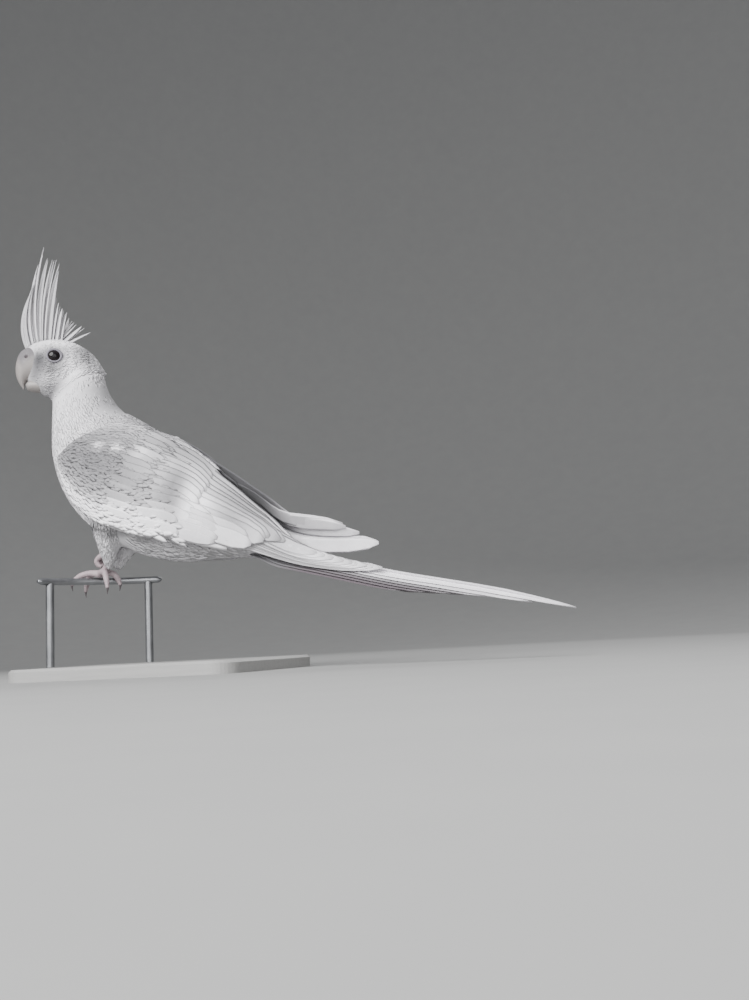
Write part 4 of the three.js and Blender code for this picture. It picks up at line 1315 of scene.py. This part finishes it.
wireMetal, standWood = metalFinish(), woodFinish()
around = np.radians(perch["gripAngle"] + np.linspace(-perch["halfSpan"], perch["halfSpan"], 41))
gripAngle = np.radians(perch["gripAngle"])
centre = -perch["ringRadius"] * np.array([np.cos(gripAngle), np.sin(gripAngle), 0])
ringPath = centre + perch["ringRadius"] * np.stack([np.cos(around), np.sin(around), 0 * around], -1)
radii = perch["wireRadius"] * np.sqrt(np.clip(1 - np.linspace(-1, 1, 41) ** 30, 0.2, 1))
wirePiece = tubePiece("perch_wire_round", limbGrid(ringPath, radii, 28, 160))
finishPiece(wirePiece, wireMetal, "wire", "perch_wire")
for name, material in (("stand_base", standWood), ("stand_rod_front", wireMetal), ("stand_rod_rear", wireMetal)):
    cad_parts[name].data.materials.clear()
    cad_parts[name].data.materials.append(material)
print("perch and stand done")


# Floor, light and camera

room = {
    "radius": 1900,
    "bend": 900,
    "height": 1100,
    "colour": colour(0.24, 0.24, 0.24),
    "grit": colour(0.27, 0.27, 0.265),
    "sky": colour(0.86, 0.88, 0.92),
    "skyStrength": 0.6,
}


def roomGrid():
    # a round floor that bends up into a wall: a profile of radius and height turned about the middle
    t = np.linspace(0, 1, 60)
    angle = np.clip((t - 0.4) / 0.5, 0, 1) * np.pi / 2
    flat = np.minimum(t / 0.4, 1) * (room["radius"] - room["bend"])
    r = flat + room["bend"] * np.sin(angle)
    z = room["bend"] * (1 - np.cos(angle)) + np.clip((t - 0.9) / 0.1, 0, 1) * room["height"]
    a = np.linspace(0, 2 * np.pi, 97)[:-1]
    return np.stack([r[:, None] * np.cos(a), r[:, None] * np.sin(a), z[:, None] + 0 * a], -1)


grid = roomGrid()[1:]
points = np.concatenate([grid.reshape(-1, 3), [[0, 0, 0]]])
k = np.arange(96)
fan = np.stack([np.full(96, len(points) - 1), k, (k + 1) % 96], -1)
backdrop = makePiece("floor", points - grip, tubeFaces(59, 96)[:, ::-1], fan)
paper = Finish("floor_paper")
grit = paper.noise(40, 4)
paper.set(Base_Color=paper.colourMix(grit, room["colour"], room["grit"]), Roughness=0.9,
          Normal=paper.bump(grit, 0.05, 0.001))
backdrop.data.materials.append(paper.material)

world = bpy.data.worlds.new("studio")
world.use_nodes = True
world.node_tree.nodes["Background"].inputs["Color"].default_value = room["sky"]
world.node_tree.nodes["Background"].inputs["Strength"].default_value = room["skyStrength"]
bpy.context.scene.world = world


lamps = [
    {"name": "key", "place": (-150, -850, 620), "size": 0.9, "power": 31, "aim": (20, 0, 90)},
    {"name": "fill", "place": (500, -700, 160), "size": 0.9, "power": 7, "aim": (40, 0, 60)},
    {"name": "back", "place": (200, 900, 800), "size": 0.8, "power": 7, "aim": (40, 0, 80)},
]


def lamp(name, place, size, power, aim):
    # a round lamp that looks from its place along the straight line to its aim; size is in metres
    light = bpy.data.lights.new(name, "AREA")
    light.shape = "DISK"
    light.size = size
    light.energy = power
    holder = bpy.data.objects.new(name, light)
    bpy.context.scene.collection.objects.link(holder)
    place, aim = (np.array(place, float) * metre, np.array(aim, float) * metre)
    back = unit(place - aim)
    side = unit(np.cross([0, 0, 1.0], back))
    turned = np.column_stack([side, np.cross(back, side), back, place])
    holder.matrix_world = Matrix(np.vstack([turned, [0, 0, 0, 1]]).tolist())


for values in lamps:
    lamp(**values)

camera = {"turn": 21.26, "pitch": 8.16, "roll": 2.98, "lens": 36.26, "place": [317.35, -423.99, -38.8]}


def cameraAxes():
    # the level directions turned about the upright, then tilted up by pitch, then rolled about the view
    turn, pitch, roll = (np.radians(camera[k]) for k in ("turn", "pitch", "roll"))
    right = np.array([np.cos(turn), np.sin(turn), 0])
    level = np.array([-np.sin(turn), np.cos(turn), 0])
    forward = np.cos(pitch) * level + np.sin(pitch) * np.array([0, 0, 1])
    up = -np.sin(pitch) * level + np.cos(pitch) * np.array([0, 0, 1])
    return np.cos(roll) * right - np.sin(roll) * up, np.sin(roll) * right + np.cos(roll) * up, forward


lens = bpy.data.cameras.new("view")
lens.sensor_fit = "VERTICAL"
lens.sensor_height = 36
lens.sensor_width = 36
lens.lens = camera["lens"]
lens.clip_start = 0.01
viewer = bpy.data.objects.new("view", lens)
bpy.context.scene.collection.objects.link(viewer)
right, up, forward = cameraAxes()
spot = (np.array(camera["place"]) + grip) * metre
viewer.matrix_world = Matrix(np.vstack([np.column_stack([right, up, -forward, spot]), [0, 0, 0, 1]]).tolist())
bpy.context.scene.camera = viewer

bpy.context.view_layer.update()
print("scene done")
